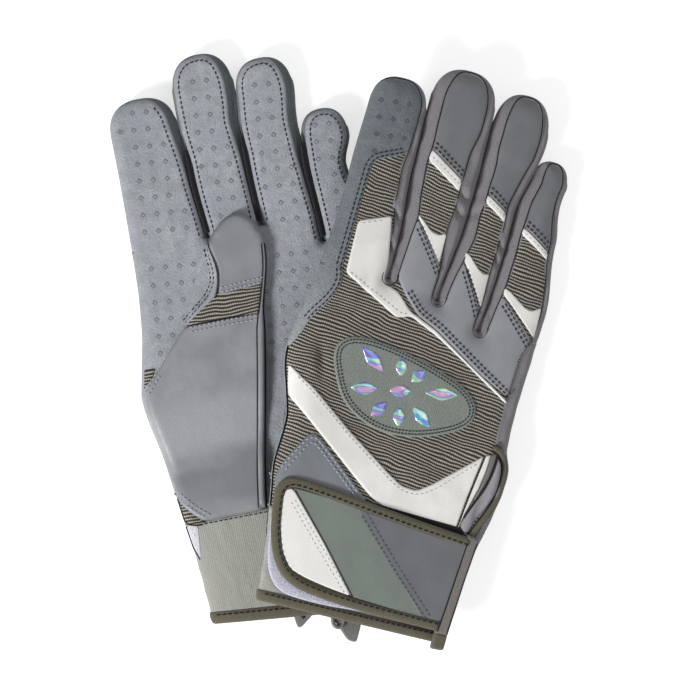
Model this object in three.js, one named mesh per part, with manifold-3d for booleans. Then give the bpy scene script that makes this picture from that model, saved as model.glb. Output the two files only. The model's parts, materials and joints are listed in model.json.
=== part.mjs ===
// A pair of batting gloves lying empty on a flat surface, in millimetres, +Z up.
// The left glove lies on its back with its palm up and its thumb folded over the palm.
// The right glove lies on it with its back up, leaning down to the surface at its little finger.
import * as THREE from 'three';
import Module from 'manifold-3d';

const wasm = await Module();
wasm.setup();

// Overall sizes of one glove
const HAND_LENGTH = 245.5;
const PALM_WIDTH = 104;
const ROOT_Y = 148;
const CUFF_TOP = 43;
const CUFF_HEM = 4;
const STRAP_TOP = 57.2;

// Stack of the glove's layers, measured from the middle of the hand
const BACK_FACE = 6;
const PALM_FACE = 5.6;
const PALM_THICKNESS = 1.3;
const KNIT_THICKNESS = 1.2;
const OVERLAY_THICKNESS = 1.3;
const SEAT_GAP = 0.3;
const SEAM_GAP = 0.4;
const EDGE_BEVEL = 0.7;

// Fingers
const FINGER_GAP = 0.9;
const FOURCHETTE_SLOPE = 4.3;
const FOURCHETTE_THICKNESS = 1.2;
const FOURCHETTE_BULGE = 0.8;
const TIP_BLUNTNESS = 2.4;
const KNUCKLE_CLEARANCE = 0.15;

// Side walls of the hand
const SIDE_SLOPE = 1.6;
const WRAP_WIDTH = 5.6;
const WRAP_NARROW = 2.8;
const WRAP_SEAM_Y = 132;
const WRAP_SEAM_RUN = 14;
const WRAP_LIP = 0.05;
const OUTER_STRIP_WIDTH = 6;
const OUTER_STRIP_LOW_Y = 90;
const OUTER_STRIP_RUN = 5;

// Thumbs, folded over the palms. The right one is pressed flat between the gloves.
const THUMB_BEVEL = 1.3;
const LEFT_THUMB_THICKNESS = 5;
const RIGHT_THUMB_THICKNESS = 3.2;

// Cuff and its closure
const CUFF_PALM_FACE = 5.5;
const CUFF_BACK_FACE = 2.7;
const CUFF_WALL = 1.2;
const CUFF_BLUNTNESS = 4;
const CUFF_POINTS = 28;
const LOOP_THICKNESS = 0.7;
const HOOK_THICKNESS = 0.6;
const STRAP_THICKNESS = 1.1;
const TAB_THICKNESS = 1.4;
const TAB_WIDTH = 9;
const LEFT_TAB_LENGTH = 13.6;
const RIGHT_TAB_LENGTH = 7;
const TAB_PLACE_SHARE = 0.48;

// How the right glove lies on the left one
const RIGHT_X = 3;
const RIGHT_Y = -123.84;
const RIGHT_Z = 18.8;
const RIGHT_RISE = 22.33;
const RIGHT_SPIN = THREE.MathUtils.degToRad(-14);
const RIGHT_PITCH = THREE.MathUtils.degToRad(-2.5);
const LEFT_X = -9.46;
const LEFT_Y = -112.66;
const LEFT_SPIN = THREE.MathUtils.degToRad(11);

// Steps along the outlines
const SIDE_STEP = 8;
const TIP_STEPS = 12;
const WEB_STEPS = 4;

// Each glove's own shape. Edges are rows of a share of the length and a share of the palm's width.
const RIGHT_SHARES = {
  leftEdgeShares: [
    [0, -0.394], [0.114, -0.404], [0.175, -0.418], [0.204, -0.433], [0.253, -0.462],
    [0.334, -0.457], [0.375, -0.481], [0.432, -0.519], [0.481, -0.519], [0.521, -0.5],
    [0.603, -0.469], [0.713, -0.442], [0.811, -0.438], [0.904, -0.426], [1, -0.423],
  ],
  rightEdgeShares: [
    [0, 0.394], [0.114, 0.428], [0.175, 0.452], [0.204, 0.466], [0.244, 0.49],
    [0.293, 0.51], [0.334, 0.514], [0.371, 0.488], [0.448, 0.487], [0.53, 0.5], [0.603, 0.512],
  ],
  webShares: [0.6110, 0.5947, 0.5601],
  thumbThickness: RIGHT_THUMB_THICKNESS,
  tabLength: RIGHT_TAB_LENGTH,
  fingers: [
    {
      name: 'index', rootShare: 0.2837, jointShare: 0.2510, shoulderShare: 0.2404,
      jointPlaceShare: 0.8106, shoulderPlaceShare: 0.9043, tipPlaceShare: 0.9593,
    },
    {
      name: 'middle', rootShare: 0.2183, jointShare: 0.2712, shoulderShare: 0.2731,
      jointPlaceShare: 0.8147, shoulderPlaceShare: 0.9328, tipPlaceShare: 1.0000,
    },
    {
      name: 'ring', rootShare: 0.2048, jointShare: 0.1817, shoulderShare: 0.2404,
      jointPlaceShare: 0.7739, shoulderPlaceShare: 0.9084, tipPlaceShare: 0.9837,
    },
    {
      name: 'little', rootShare: 0.2442, jointShare: 0.1962, shoulderShare: 0.1519,
      jointPlaceShare: 0.7373, shoulderPlaceShare: 0.8391, tipPlaceShare: 0.8819,
    },
  ],
};
const LEFT_SHARES = {
  leftEdgeShares: [
    [0, -0.442], [0.114, -0.462], [0.175, -0.481], [0.212, -0.49], [0.244, -0.5],
    [0.305, -0.519], [0.367, -0.548], [0.407, -0.558], [0.432, -0.548], [0.481, -0.524],
    [0.53, -0.503], [0.611, -0.486], [0.786, -0.476], [0.904, -0.476], [1, -0.471],
  ],
  rightEdgeShares: [
    [0, 0.385], [0.175, 0.433], [0.244, 0.462], [0.326, 0.49], [0.448, 0.5], [0.53, 0.519], [0.603, 0.543],
  ],
  webShares: [0.6640, 0.6680, 0.6191],
  thumbThickness: LEFT_THUMB_THICKNESS,
  tabLength: LEFT_TAB_LENGTH,
  fingers: [
    {
      name: 'index', rootShare: 0.3269, jointShare: 0.2933, shoulderShare: 0.2788,
      jointPlaceShare: 0.7862, shoulderPlaceShare: 0.8676, tipPlaceShare: 0.9267,
    },
    {
      name: 'middle', rootShare: 0.2125, jointShare: 0.2279, shoulderShare: 0.2519,
      jointPlaceShare: 0.7984, shoulderPlaceShare: 0.9165, tipPlaceShare: 0.9837,
    },
    {
      name: 'ring', rootShare: 0.2327, jointShare: 0.2279, shoulderShare: 0.2365,
      jointPlaceShare: 0.7658, shoulderPlaceShare: 0.8961, tipPlaceShare: 0.9572,
    },
    {
      name: 'little', rootShare: 0.2260, jointShare: 0.1587, shoulderShare: 0.1942,
      jointPlaceShare: 0.7454, shoulderPlaceShare: 0.7984, tipPlaceShare: 0.8493,
    },
  ],
};

// Outlines on the back: each point is a share of the width between the edges, and of the way from the
// strap's top to the longest fingertip.
const INDEX_TRIM_SHARES = [
  [0.091, 0.6050], [0.206, 0.6310], [0.235, 0.5880], [0.269, 0.5033], [0.342, 0.4785], [0.41, 0.4394],
  [0.533, 0.4081], [0.695, 0.3651], [0.816, 0.3312], [0.934, 0.3012], [0.936, 0.2855], [0.8, 0.3155],
  [0.701, 0.3390], [0.548, 0.3781], [0.436, 0.4081], [0.398, 0.4029], [0.107, 0.4772],
];
const KNUCKLE_BAND_SHARES = [
  [0.35, 0.4928], [0.324, 0.6376], [0.475, 0.5515], [0.506, 0.4928], [0.535, 0.4928], [0.586, 0.5671],
  [0.715, 0.4772], [0.74, 0.4420], [0.779, 0.4420], [0.799, 0.4980], [0.957, 0.4237], [0.93, 0.3481],
  [0.938, 0.3116], [0.815, 0.3416], [0.694, 0.3768], [0.531, 0.4211], [0.418, 0.4524],
];
const EMBLEM_SHARES = [
  [0.162, 0.2595], [0.19, 0.3194], [0.274, 0.3520], [0.429, 0.3455], [0.609, 0.3064], [0.765, 0.2595],
  [0.827, 0.2112], [0.777, 0.1695], [0.632, 0.1369], [0.49, 0.1317], [0.365, 0.1578], [0.245, 0.2008],
];
const V_TRIM_SHARES = [
  [0.055, 0.2386], [0.112, 0.2112], [0.272, 0.1317], [0.477, 0.0626], [0.561, 0.0417], [0.631, 0.0391],
  [0.677, 0.0574], [0.86, 0.1473], [0.844, 0.0678], [0.844, 0.0091], [0.503, 0.0091], [0.379, 0.0469],
  [0.174, 0.1213], [0.05, 0.1851],
];
const SIDE_PANEL_SHARES = [
  [0.05, 0.0222], [0.065, 0.0469], [0.115, 0.1108], [0.17, 0.1017], [0.377, 0.0287], [0.43, 0.0117], [0.055, 0.0117],
];
// Outlines on the palm: the second share is of the way from the cuff's top to the longest fingertip
const THUMB_PANEL_SHARES = [
  [0.177, 0.4144], [0.132, 0.3805], [0.081, 0.3405], [0.046, 0.3114], [0.012, 0.2811], [0.009, 0.2326],
  [0.008, 0.1574], [0.009, 0.0835], [0.014, 0.0350], [0.044, 0.0071], [0.106, 0.0022], [0.379, 0.0022],
  [0.4, 0.0835], [0.443, 0.1829], [0.501, 0.3308], [0.496, 0.4144],
];
const THUMB_STALL_SHARES = [
  [0.176, 0.4181], [0.193, 0.4690], [0.221, 0.5187], [0.3, 0.5781], [0.341, 0.6024], [0.412, 0.6242],
  [0.492, 0.6327], [0.538, 0.6169], [0.549, 0.5781], [0.539, 0.5284], [0.528, 0.4787], [0.505, 0.4181],
];
// Outlines of the closure: the second share is of the strap's top, and of the cuff's top for the tapes
const STRAP_SHARES = [
  [0.035, 0.966], [0.091, 1], [0.174, 1], [0.482, 0.953], [0.93, 0.880], [0.951, 0.150],
  [0.554, 0.185], [0.374, 0.219], [0.196, 0.253], [0.125, 0.279], [0.06, 0.438], [0.02, 0.665], [0.015, 0.876],
];
const LOOP_SHARES = [
  [0.02, 0.948], [0.02, 0.697], [0.06, 0.417], [0.16, 0.211], [0.376, 0.188], [0.736, 0.188], [0.703, 0.948],
];
const HOOK_SHARES = [
  [0.067, 0.948], [0.067, 0.828], [0.104, 0.605], [0.184, 0.440], [0.397, 0.394], [0.395, 0.948],
];

// Finishes
const finish = (color, roughness) => new THREE.MeshStandardMaterial({ color, roughness, metalness: 0 });
const finishes = {
  suede: finish(0x969ca0, 0.9),
  synthetic: finish(0x6c6e72, 0.6),
  knit: finish(0x6e685f, 0.95),
  white: finish(0xe8e6e0, 0.6),
  stretch: finish(0x787376, 0.85),
  panel: finish(0x808386, 0.5),
  backing: finish(0x7f8a85, 0.6),
  elastic: finish(0x96948c, 0.9),
  strap: finish(0x6f7771, 0.6),
  loop: finish(0xcdcbde, 0.95),
  hook: finish(0xd8d8dc, 0.8),
};

// Levels of the layers, along the glove's own z
const overlayLow = BACK_FACE - OVERLAY_THICKNESS;
const knitHigh = overlayLow - SEAT_GAP;
const knitLow = knitHigh - KNIT_THICKNESS;
const palmHigh = PALM_THICKNESS - PALM_FACE;
const wallLow = palmHigh + SEAT_GAP;
const wallHigh = knitLow - SEAT_GAP;
const thumbHigh = -PALM_FACE - SEAT_GAP;
const loopLow = CUFF_BACK_FACE + SEAT_GAP;
const loopHigh = loopLow + LOOP_THICKNESS;
const hookLow = loopHigh + SEAT_GAP;
const hookHigh = hookLow + HOOK_THICKNESS;

// A glove's fingers and webs in lengths, from their shares of the hand's length and the palm's width
function inLengths(glove) {
  const fingers = glove.fingers.map((finger) => ({
    name: finger.name,
    rootWidth: finger.rootShare * PALM_WIDTH,
    jointWidth: finger.jointShare * PALM_WIDTH,
    shoulderWidth: finger.shoulderShare * PALM_WIDTH,
    jointY: finger.jointPlaceShare * HAND_LENGTH,
    shoulderY: finger.shoulderPlaceShare * HAND_LENGTH,
    tipY: finger.tipPlaceShare * HAND_LENGTH,
  }));
  return { ...glove, fingers, webs: glove.webShares.map((share) => ({ y: share * HAND_LENGTH })) };
}

// Reads a value from rows of a place share and a value share, joined by a smooth curve
function fromRows(rows, placeShare) {
  const last = rows.length - 1;
  const slope = (i) => {
    const [before, after] = [rows[Math.max(0, i - 1)], rows[Math.min(last, i + 1)]];
    return (after[1] - before[1]) / (after[0] - before[0]);
  };
  const place = THREE.MathUtils.clamp(placeShare, rows[0][0], rows[last][0]);
  const i = Math.max(1, rows.findIndex(([rowPlace]) => rowPlace >= place));
  const [lowPlace, lowValue] = rows[i - 1];
  const [highPlace, highValue] = rows[i];
  const run = highPlace - lowPlace;
  const part = (place - lowPlace) / run;
  const smooth = THREE.MathUtils.smoothstep(part, 0, 1);
  const rise = part * (1 - part) ** 2 * run * slope(i - 1);
  const fall = part ** 2 * (1 - part) * run * slope(i);
  return THREE.MathUtils.lerp(lowValue, highValue, smooth) + rise - fall;
}

// A finger's width at a height: root, knuckle and shoulder widths, joined by smooth tapers
function fingerWidth(finger, y) {
  const toJoint = THREE.MathUtils.smoothstep(y, ROOT_Y, finger.jointY);
  const toShoulder = THREE.MathUtils.smoothstep(y, finger.jointY, finger.shoulderY);
  const width = THREE.MathUtils.lerp(finger.rootWidth, finger.jointWidth, toJoint);
  return THREE.MathUtils.lerp(width, finger.shoulderWidth, toShoulder);
}

// The hand's edge on the side of the index finger, which the other fingers stand beside
function handLeft(glove, y) {
  return fromRows(glove.leftEdgeShares, y / HAND_LENGTH) * PALM_WIDTH;
}

function fingerLeft(glove, index, y) {
  let x = handLeft(glove, y);
  for (let i = 0; i < index; i++) x += fingerWidth(glove.fingers[i], y) + FINGER_GAP;
  return x;
}

function fingerRight(glove, index, y) {
  return fingerLeft(glove, index, y) + fingerWidth(glove.fingers[index], y);
}

// The hand's edge on the side of the little finger, carried on from that finger's root
function handRight(glove, y) {
  if (y >= ROOT_Y) return fingerRight(glove, 3, y);
  const rootShare = fromRows(glove.rightEdgeShares, ROOT_Y / HAND_LENGTH);
  const share = fromRows(glove.rightEdgeShares, y / HAND_LENGTH);
  return fingerRight(glove, 3, ROOT_Y) + (share - rootShare) * PALM_WIDTH;
}

// A point given as shares of the hand's width and of the way between two heights
function onHand(glove, [acrossShare, alongShare], low, high) {
  const y = THREE.MathUtils.lerp(low, high, alongShare);
  return new THREE.Vector2(THREE.MathUtils.lerp(handLeft(glove, y), handRight(glove, y), acrossShare), y);
}

// A wall's path: points with the direction that leads into the glove
function sidePath(edge, fromY, toY, inward) {
  const steps = Math.max(1, Math.round(Math.abs(toY - fromY) / SIDE_STEP));
  const path = [];
  for (let i = 0; i <= steps; i++) {
    const y = THREE.MathUtils.lerp(fromY, toY, i / steps);
    path.push({ at: new THREE.Vector2(edge(y), y), inward: new THREE.Vector2(inward, 0) });
  }
  return path;
}

// The fold between two fingers: down one, round the web and up the next
function webPath(glove, index) {
  const before = glove.fingers[index];
  const after = glove.fingers[index + 1];
  const radius = FINGER_GAP / 2;
  const turnY = glove.webs[index].y + radius;
  const centre = new THREE.Vector2(fingerRight(glove, index, turnY) + radius, turnY);
  const down = sidePath((y) => fingerRight(glove, index, y), before.jointY - KNUCKLE_CLEARANCE, turnY, -1);
  const up = sidePath((y) => fingerLeft(glove, index + 1, y), turnY, after.jointY - KNUCKLE_CLEARANCE, 1);
  const turn = [];
  for (let i = 1; i < WEB_STEPS; i++) {
    const angle = Math.PI * (1 + i / WEB_STEPS);
    const out = new THREE.Vector2(Math.cos(angle), Math.sin(angle));
    turn.push({ at: centre.clone().addScaledVector(out, radius), inward: out });
  }
  return [...down, ...turn, ...up];
}

// Round a finger beyond its knuckle: up one side, over the blunt tip and down the other side
function tipPath(glove, index) {
  const finger = glove.fingers[index];
  const foot = finger.jointY + KNUCKLE_CLEARANCE;
  const left = (y) => fingerLeft(glove, index, y);
  const right = (y) => fingerRight(glove, index, y);
  const halfWidth = fingerWidth(finger, finger.shoulderY) / 2;
  const centre = new THREE.Vector2(left(finger.shoulderY) + halfWidth, finger.shoulderY);
  const reach = finger.tipY - finger.shoulderY;
  const power = 2 / TIP_BLUNTNESS;
  const tip = [];
  for (let i = 1; i < TIP_STEPS; i++) {
    const angle = Math.PI * (1 - i / TIP_STEPS);
    const across = Math.sign(Math.cos(angle)) * Math.abs(Math.cos(angle)) ** power;
    const along = Math.sin(angle) ** power;
    const at = new THREE.Vector2(centre.x + halfWidth * across, centre.y + reach * along);
    tip.push({ at, inward: new THREE.Vector2(-Math.cos(angle), -Math.sin(angle)) });
  }
  return [
    ...sidePath(left, foot, finger.shoulderY, 1), ...tip, ...sidePath(right, finger.shoulderY, foot, -1),
  ];
}

// The paths round the whole hand below the knuckles, from the index side to the little finger's side
function handPaths(glove, footY) {
  const first = glove.fingers[0];
  const last = glove.fingers[3];
  return [
    sidePath((y) => handLeft(glove, y), footY, first.jointY - KNUCKLE_CLEARANCE, 1),
    webPath(glove, 0),
    webPath(glove, 1),
    webPath(glove, 2),
    sidePath((y) => handRight(glove, y), last.jointY - KNUCKLE_CLEARANCE, footY, -1),
  ];
}

function insetPath(path, insetAt) {
  return path.map((point) => point.at.clone().addScaledVector(point.inward, insetAt(point)));
}

// Moves an outline's corners inwards by a distance, along the bisector of the sides beside them
function shrink(outline, distance) {
  return outline.map((point, i) => {
    const before = point.clone().sub(outline[(i + outline.length - 1) % outline.length]).normalize();
    const after = outline[(i + 1) % outline.length].clone().sub(point).normalize();
    const bisector = new THREE.Vector2(-before.y - after.y, before.x + after.x);
    const scale = Math.min(1, 2 / bisector.lengthSq());
    return point.clone().addScaledVector(bisector, distance * scale);
  });
}

// Closed mesh from numbered points and triangles, turned so that its faces point out
function closedMesh(points, triangles) {
  let volume = 0;
  for (const [a, b, c] of triangles) volume += points[a].dot(points[b].clone().cross(points[c]));
  const index = triangles.flatMap(([a, b, c]) => (volume > 0 ? [a, b, c] : [a, c, b]));
  const geometry = new THREE.BufferGeometry();
  geometry.setAttribute('position', new THREE.Float32BufferAttribute(points.flatMap((p) => [p.x, p.y, p.z]), 3));
  geometry.setIndex(index);
  return geometry;
}

// Rings of equally many points joined by sides and closed by a face over the first and the last
function loft(rings, faceRing = rings[0]) {
  const count = rings[0].length;
  const triangles = [];
  for (let level = 0; level + 1 < rings.length; level++) {
    for (let i = 0; i < count; i++) {
      const next = (i + 1) % count;
      const low = level * count;
      const high = low + count;
      triangles.push([low + i, low + next, high + next], [low + i, high + next, high + i]);
    }
  }
  const top = (rings.length - 1) * count;
  const ends = THREE.ShapeUtils.isClockWise(faceRing) ? [top, 0] : [0, top];
  for (const [a, b, c] of THREE.ShapeUtils.triangulateShape(faceRing, [])) {
    triangles.push([ends[0] + a, ends[0] + c, ends[0] + b], [ends[1] + a, ends[1] + b, ends[1] + c]);
  }
  return closedMesh(rings.flat(), triangles);
}

// A flat sheet between two levels with bevelled rims, cut to an outline
function sheet(outline, low, high, lowBevel, highBevel) {
  const face = THREE.ShapeUtils.isClockWise(outline) ? [...outline].reverse() : outline;
  const ring = (inset, z) => shrink(face, inset).map((point) => new THREE.Vector3(point.x, point.y, z));
  const rings = [ring(lowBevel, low)];
  if (lowBevel > 0) rings.push(ring(0, low + lowBevel));
  if (highBevel > 0) rings.push(ring(0, high - highBevel));
  rings.push(ring(highBevel, high));
  return loft(rings, face);
}

// A strip that follows a wall's path, with a section of insets and levels
function strip(path, sectionAt) {
  const sections = path.map(sectionAt);
  const rings = path.map((point, k) => sections[k].map(([inset, z]) => {
    const at = point.at.clone().addScaledVector(point.inward, inset);
    return new THREE.Vector3(at.x, at.y, z);
  }));
  return loft(rings, sections[0].map(([inset, z]) => new THREE.Vector2(inset, z)));
}

// A tube between two rows of rings, open at both ends
function openTube(outerRings, innerRings) {
  const rings = [...outerRings, ...[...innerRings].reverse()];
  const count = rings[0].length;
  const triangles = [];
  rings.forEach((ring, level) => {
    const low = level * count;
    const high = ((level + 1) % rings.length) * count;
    for (let i = 0; i < count; i++) {
      const next = (i + 1) % count;
      triangles.push([low + i, low + next, high + next], [low + i, high + next, high + i]);
    }
  });
  return closedMesh(rings.flat(), triangles);
}

function join(first, second) {
  const solids = [first, second].map((geometry) => new wasm.Manifold(new wasm.Mesh({
    numProp: 3,
    vertProperties: new Float32Array(geometry.getAttribute('position').array),
    triVerts: new Uint32Array(geometry.getIndex().array),
  })));
  const mesh = solids[0].add(solids[1]).getMesh();
  const geometry = new THREE.BufferGeometry();
  geometry.setAttribute('position', new THREE.Float32BufferAttribute(mesh.vertProperties, 3));
  geometry.setIndex(Array.from(mesh.triVerts));
  return geometry;
}

// How far the palm leather is wrapped over the back, at a height on the index side
function wrapWidth(y) {
  const part = THREE.MathUtils.smoothstep(y, WRAP_SEAM_Y - WRAP_SEAM_RUN, WRAP_SEAM_Y + WRAP_SEAM_RUN);
  return THREE.MathUtils.lerp(WRAP_NARROW, WRAP_WIDTH, part);
}

function wrapEdge(glove, y) {
  return handLeft(glove, y) + SIDE_SLOPE + wrapWidth(y);
}

// Section of the palm's wrapped edge: a wall, and above the strap a strip folded over the back
function wrapSection({ at }) {
  const overBack = at.y > STRAP_TOP;
  const high = overBack ? BACK_FACE : knitHigh;
  const width = overBack ? wrapWidth(at.y) : PALM_THICKNESS + WRAP_LIP;
  const thickness = overBack ? OVERLAY_THICKNESS : WRAP_LIP;
  return [
    [SIDE_SLOPE / 2, EDGE_BEVEL - PALM_FACE],
    [SIDE_SLOPE / 2, 0],
    [SIDE_SLOPE, high - EDGE_BEVEL],
    [SIDE_SLOPE + EDGE_BEVEL, high],
    [SIDE_SLOPE + width, high],
    [SIDE_SLOPE + width, high - thickness],
    [SIDE_SLOPE + PALM_THICKNESS, high - thickness],
    [SIDE_SLOPE / 2 + PALM_THICKNESS, 0],
    [SIDE_SLOPE / 2 + PALM_THICKNESS, EDGE_BEVEL - PALM_FACE],
  ];
}

// The wrapped edge's path: the wall beside the strap, then the wall beside the back
function wrapPath(glove) {
  const edge = (y) => handLeft(glove, y);
  const foot = CUFF_TOP + 2 * SEAT_GAP;
  const head = glove.fingers[0].jointY - SEAT_GAP;
  return [...sidePath(edge, foot, STRAP_TOP, 1), ...sidePath(edge, STRAP_TOP + SEAM_GAP, head, 1)];
}

// Palm leather: one sheet under the hand and the fingers' roots, wrapped over the index side
function palmLeather(glove) {
  const footY = CUFF_TOP + SEAT_GAP;
  const outline = handPaths(glove, footY).flatMap((path) => insetPath(path, () => 0));
  const floor = sheet(outline, -PALM_FACE, palmHigh, EDGE_BEVEL, 0);
  return join(floor, strip(wrapPath(glove), wrapSection));
}

// Inset of the back from the fingers' sides: steep at the webs, sloped beside the fingers
function backInset({ at }) {
  const part = THREE.MathUtils.smoothstep(at.y, ROOT_Y - WRAP_SEAM_RUN, ROOT_Y);
  return THREE.MathUtils.lerp(SIDE_SLOPE + EDGE_BEVEL, FOURCHETTE_SLOPE, part);
}

// Inset of the back on the little finger's side, where a stretch strip shows beside the knuckle band
function outerInset(point) {
  const below = THREE.MathUtils.smoothstep(point.at.y, OUTER_STRIP_LOW_Y, OUTER_STRIP_LOW_Y + OUTER_STRIP_RUN);
  return THREE.MathUtils.lerp(backInset(point), OUTER_STRIP_WIDTH, below);
}

// Knit back: one sheet over the hand and the fingers' roots, inside the wrapped edge
function knitBack(glove) {
  const [, webOne, webTwo, webThree, outerSide] = handPaths(glove, CUFF_TOP + SEAT_GAP);
  const behindWrap = SIDE_SLOPE + PALM_THICKNESS + SEAM_GAP;
  const outline = [
    ...insetPath(wrapPath(glove), () => behindWrap),
    ...[webOne, webTwo, webThree].flatMap((path) => insetPath(path, backInset)),
    ...insetPath(outerSide, outerInset),
  ];
  return sheet(outline, knitLow, knitHigh, 0, EDGE_BEVEL);
}

// Section of a stretch wall that bulges out at the middle and leans in to the back
function wallSection(lean, high) {
  return [
    [FOURCHETTE_BULGE, wallLow],
    [0, 0],
    [lean, high],
    [lean + FOURCHETTE_THICKNESS, high],
    [FOURCHETTE_THICKNESS, 0],
    [FOURCHETTE_BULGE + FOURCHETTE_THICKNESS, wallLow],
  ];
}

// Stretch gusset between two fingers
function webGusset(glove, index) {
  return strip(webPath(glove, index), (point) => wallSection(backInset(point), wallHigh));
}

// Stretch gusset round a finger beyond its knuckle
function tipGusset(glove, index) {
  return strip(tipPath(glove, index), () => wallSection(FOURCHETTE_SLOPE, knitHigh));
}

// Stretch gusset along the little finger's side of the hand
function outerGusset(glove) {
  const path = handPaths(glove, CUFF_TOP + SEAT_GAP)[4];
  return strip(path, (point) => wallSection(outerInset(point), wallHigh));
}

// One ring of the cuff at a height, as a blunt oval
function cuffRing(glove, y, inset) {
  const left = handLeft(glove, y) + inset;
  const right = handRight(glove, y) - inset;
  const low = inset - CUFF_PALM_FACE;
  const high = CUFF_BACK_FACE - inset;
  const power = 2 / CUFF_BLUNTNESS;
  const ring = [];
  for (let i = 0; i < CUFF_POINTS; i++) {
    const angle = 2 * Math.PI * i / CUFF_POINTS;
    const across = Math.sign(Math.cos(angle)) * Math.abs(Math.cos(angle)) ** power;
    const up = Math.sign(Math.sin(angle)) * Math.abs(Math.sin(angle)) ** power;
    const x = (left + right) / 2 + across * (right - left) / 2;
    ring.push(new THREE.Vector3(x, y, (low + high) / 2 + up * (high - low) / 2));
  }
  return ring;
}

function cuffTube(glove) {
  const levels = [CUFF_HEM, (CUFF_HEM + CUFF_TOP) / 2, CUFF_TOP];
  return openTube(
    levels.map((y) => cuffRing(glove, y, 0)),
    levels.map((y) => cuffRing(glove, y, CUFF_WALL)),
  );
}

// Pull tab under the hem, a short tongue with a rounded end
function pullTab(glove) {
  const middle = THREE.MathUtils.lerp(handLeft(glove, 0), handRight(glove, 0), TAB_PLACE_SHARE);
  const top = CUFF_HEM - SEAT_GAP;
  const radius = TAB_WIDTH / 2;
  const arc = new THREE.EllipseCurve(middle, top - glove.tabLength + radius, radius, radius, Math.PI, 2 * Math.PI);
  const outline = [
    new THREE.Vector2(middle - radius, top), ...arc.getPoints(TIP_STEPS), new THREE.Vector2(middle + radius, top),
  ];
  const low = -CUFF_PALM_FACE;
  return sheet(outline, low, low + TAB_THICKNESS, 0, 0);
}

// One glove, lying with its back towards +z and its index finger towards -x
function glovePair(side, glove) {
  const group = new THREE.Group();
  const add = (name, geometry, material) => {
    const mesh = new THREE.Mesh(geometry, material);
    mesh.name = `${side}_${name}`;
    group.add(mesh);
  };
  const outlineOf = (shares, low, high) => shares.map((share) => onHand(glove, share, low, high));
  const overlay = (name, shares, material) => {
    const outline = outlineOf(shares, STRAP_TOP, HAND_LENGTH);
    for (const point of outline) point.x = Math.max(point.x, wrapEdge(glove, point.y) + SEAM_GAP);
    add(name, sheet(outline, overlayLow, BACK_FACE, 0, EDGE_BEVEL), material);
  };

  add('palm', palmLeather(glove), finishes.suede);
  add('back_knit', knitBack(glove), finishes.knit);
  overlay('knuckle_band', KNUCKLE_BAND_SHARES, finishes.synthetic);
  overlay('index_trim', INDEX_TRIM_SHARES, finishes.white);
  overlay('v_trim', V_TRIM_SHARES, finishes.white);
  overlay('side_panel', SIDE_PANEL_SHARES, finishes.panel);
  overlay('emblem_patch', EMBLEM_SHARES, finishes.backing);

  const gussetNames = ['gusset_index_middle', 'gusset_middle_ring', 'gusset_ring_little'];
  gussetNames.forEach((name, index) => add(name, webGusset(glove, index), finishes.stretch));
  add('gusset_outer', outerGusset(glove), finishes.stretch);

  glove.fingers.forEach((finger, index) => {
    const path = tipPath(glove, index);
    const cap = sheet(insetPath(path, () => FOURCHETTE_SLOPE), overlayLow, BACK_FACE, 0, EDGE_BEVEL);
    const pad = sheet(insetPath(path, () => 0), -PALM_FACE, palmHigh, EDGE_BEVEL, 0);
    add(`${finger.name}_cap`, cap, finishes.synthetic);
    add(`${finger.name}_gusset`, tipGusset(glove, index), finishes.stretch);
    add(`${finger.name}_pad`, pad, finishes.suede);
  });

  const thumbLow = thumbHigh - glove.thumbThickness;
  const thumbPart = (shares) => {
    return sheet(outlineOf(shares, CUFF_TOP, HAND_LENGTH), thumbLow, thumbHigh, THUMB_BEVEL, EDGE_BEVEL);
  };
  add('thumb_panel', thumbPart(THUMB_PANEL_SHARES), finishes.panel);
  add('thumb_stall', thumbPart(THUMB_STALL_SHARES), finishes.suede);

  add('cuff', cuffTube(glove), finishes.elastic);
  const strapLow = BACK_FACE - STRAP_THICKNESS;
  add('strap', sheet(outlineOf(STRAP_SHARES, 0, STRAP_TOP), strapLow, BACK_FACE, 0, EDGE_BEVEL), finishes.strap);
  add('loop_patch', sheet(outlineOf(LOOP_SHARES, 0, CUFF_TOP), loopLow, loopHigh, 0, 0), finishes.loop);
  add('hook_patch', sheet(outlineOf(HOOK_SHARES, 0, CUFF_TOP), hookLow, hookHigh, 0, 0), finishes.hook);
  add('pull_tab', pullTab(glove), finishes.stretch);
  return group;
}

const rightGlove = glovePair('right', inLengths(RIGHT_SHARES));
rightGlove.position.set(RIGHT_X, RIGHT_Y, RIGHT_Z);
rightGlove.rotation.set(RIGHT_PITCH, Math.asin(RIGHT_RISE / PALM_WIDTH), RIGHT_SPIN, 'ZYX');

const leftGlove = glovePair('left', inLengths(LEFT_SHARES));
leftGlove.position.set(LEFT_X, LEFT_Y, 0);
leftGlove.rotation.z = LEFT_SPIN;
leftGlove.scale.z = -1;

// The pair stands on the surface at z = 0, with the origin under its middle
const pair = new THREE.Group();
pair.add(rightGlove, leftGlove);
const box = new THREE.Box3().setFromObject(pair, true);
pair.position.set(-(box.min.x + box.max.x) / 2, -(box.min.y + box.max.y) / 2, -box.min.z);

export default pair;
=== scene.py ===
"""Looks of a pair of batting gloves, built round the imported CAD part.

Lengths are millimetres in a glove's own axes until a mesh is placed: x runs from the index finger to the
little finger, y from the hem to the fingertips and z from the palm to the back. Plan points are N x 2 arrays.
"""
import json
import math

import bmesh
import bpy
import numpy as np
from mathutils import Matrix, Vector, noise
from mathutils.geometry import delaunay_2d_cdt


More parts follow.
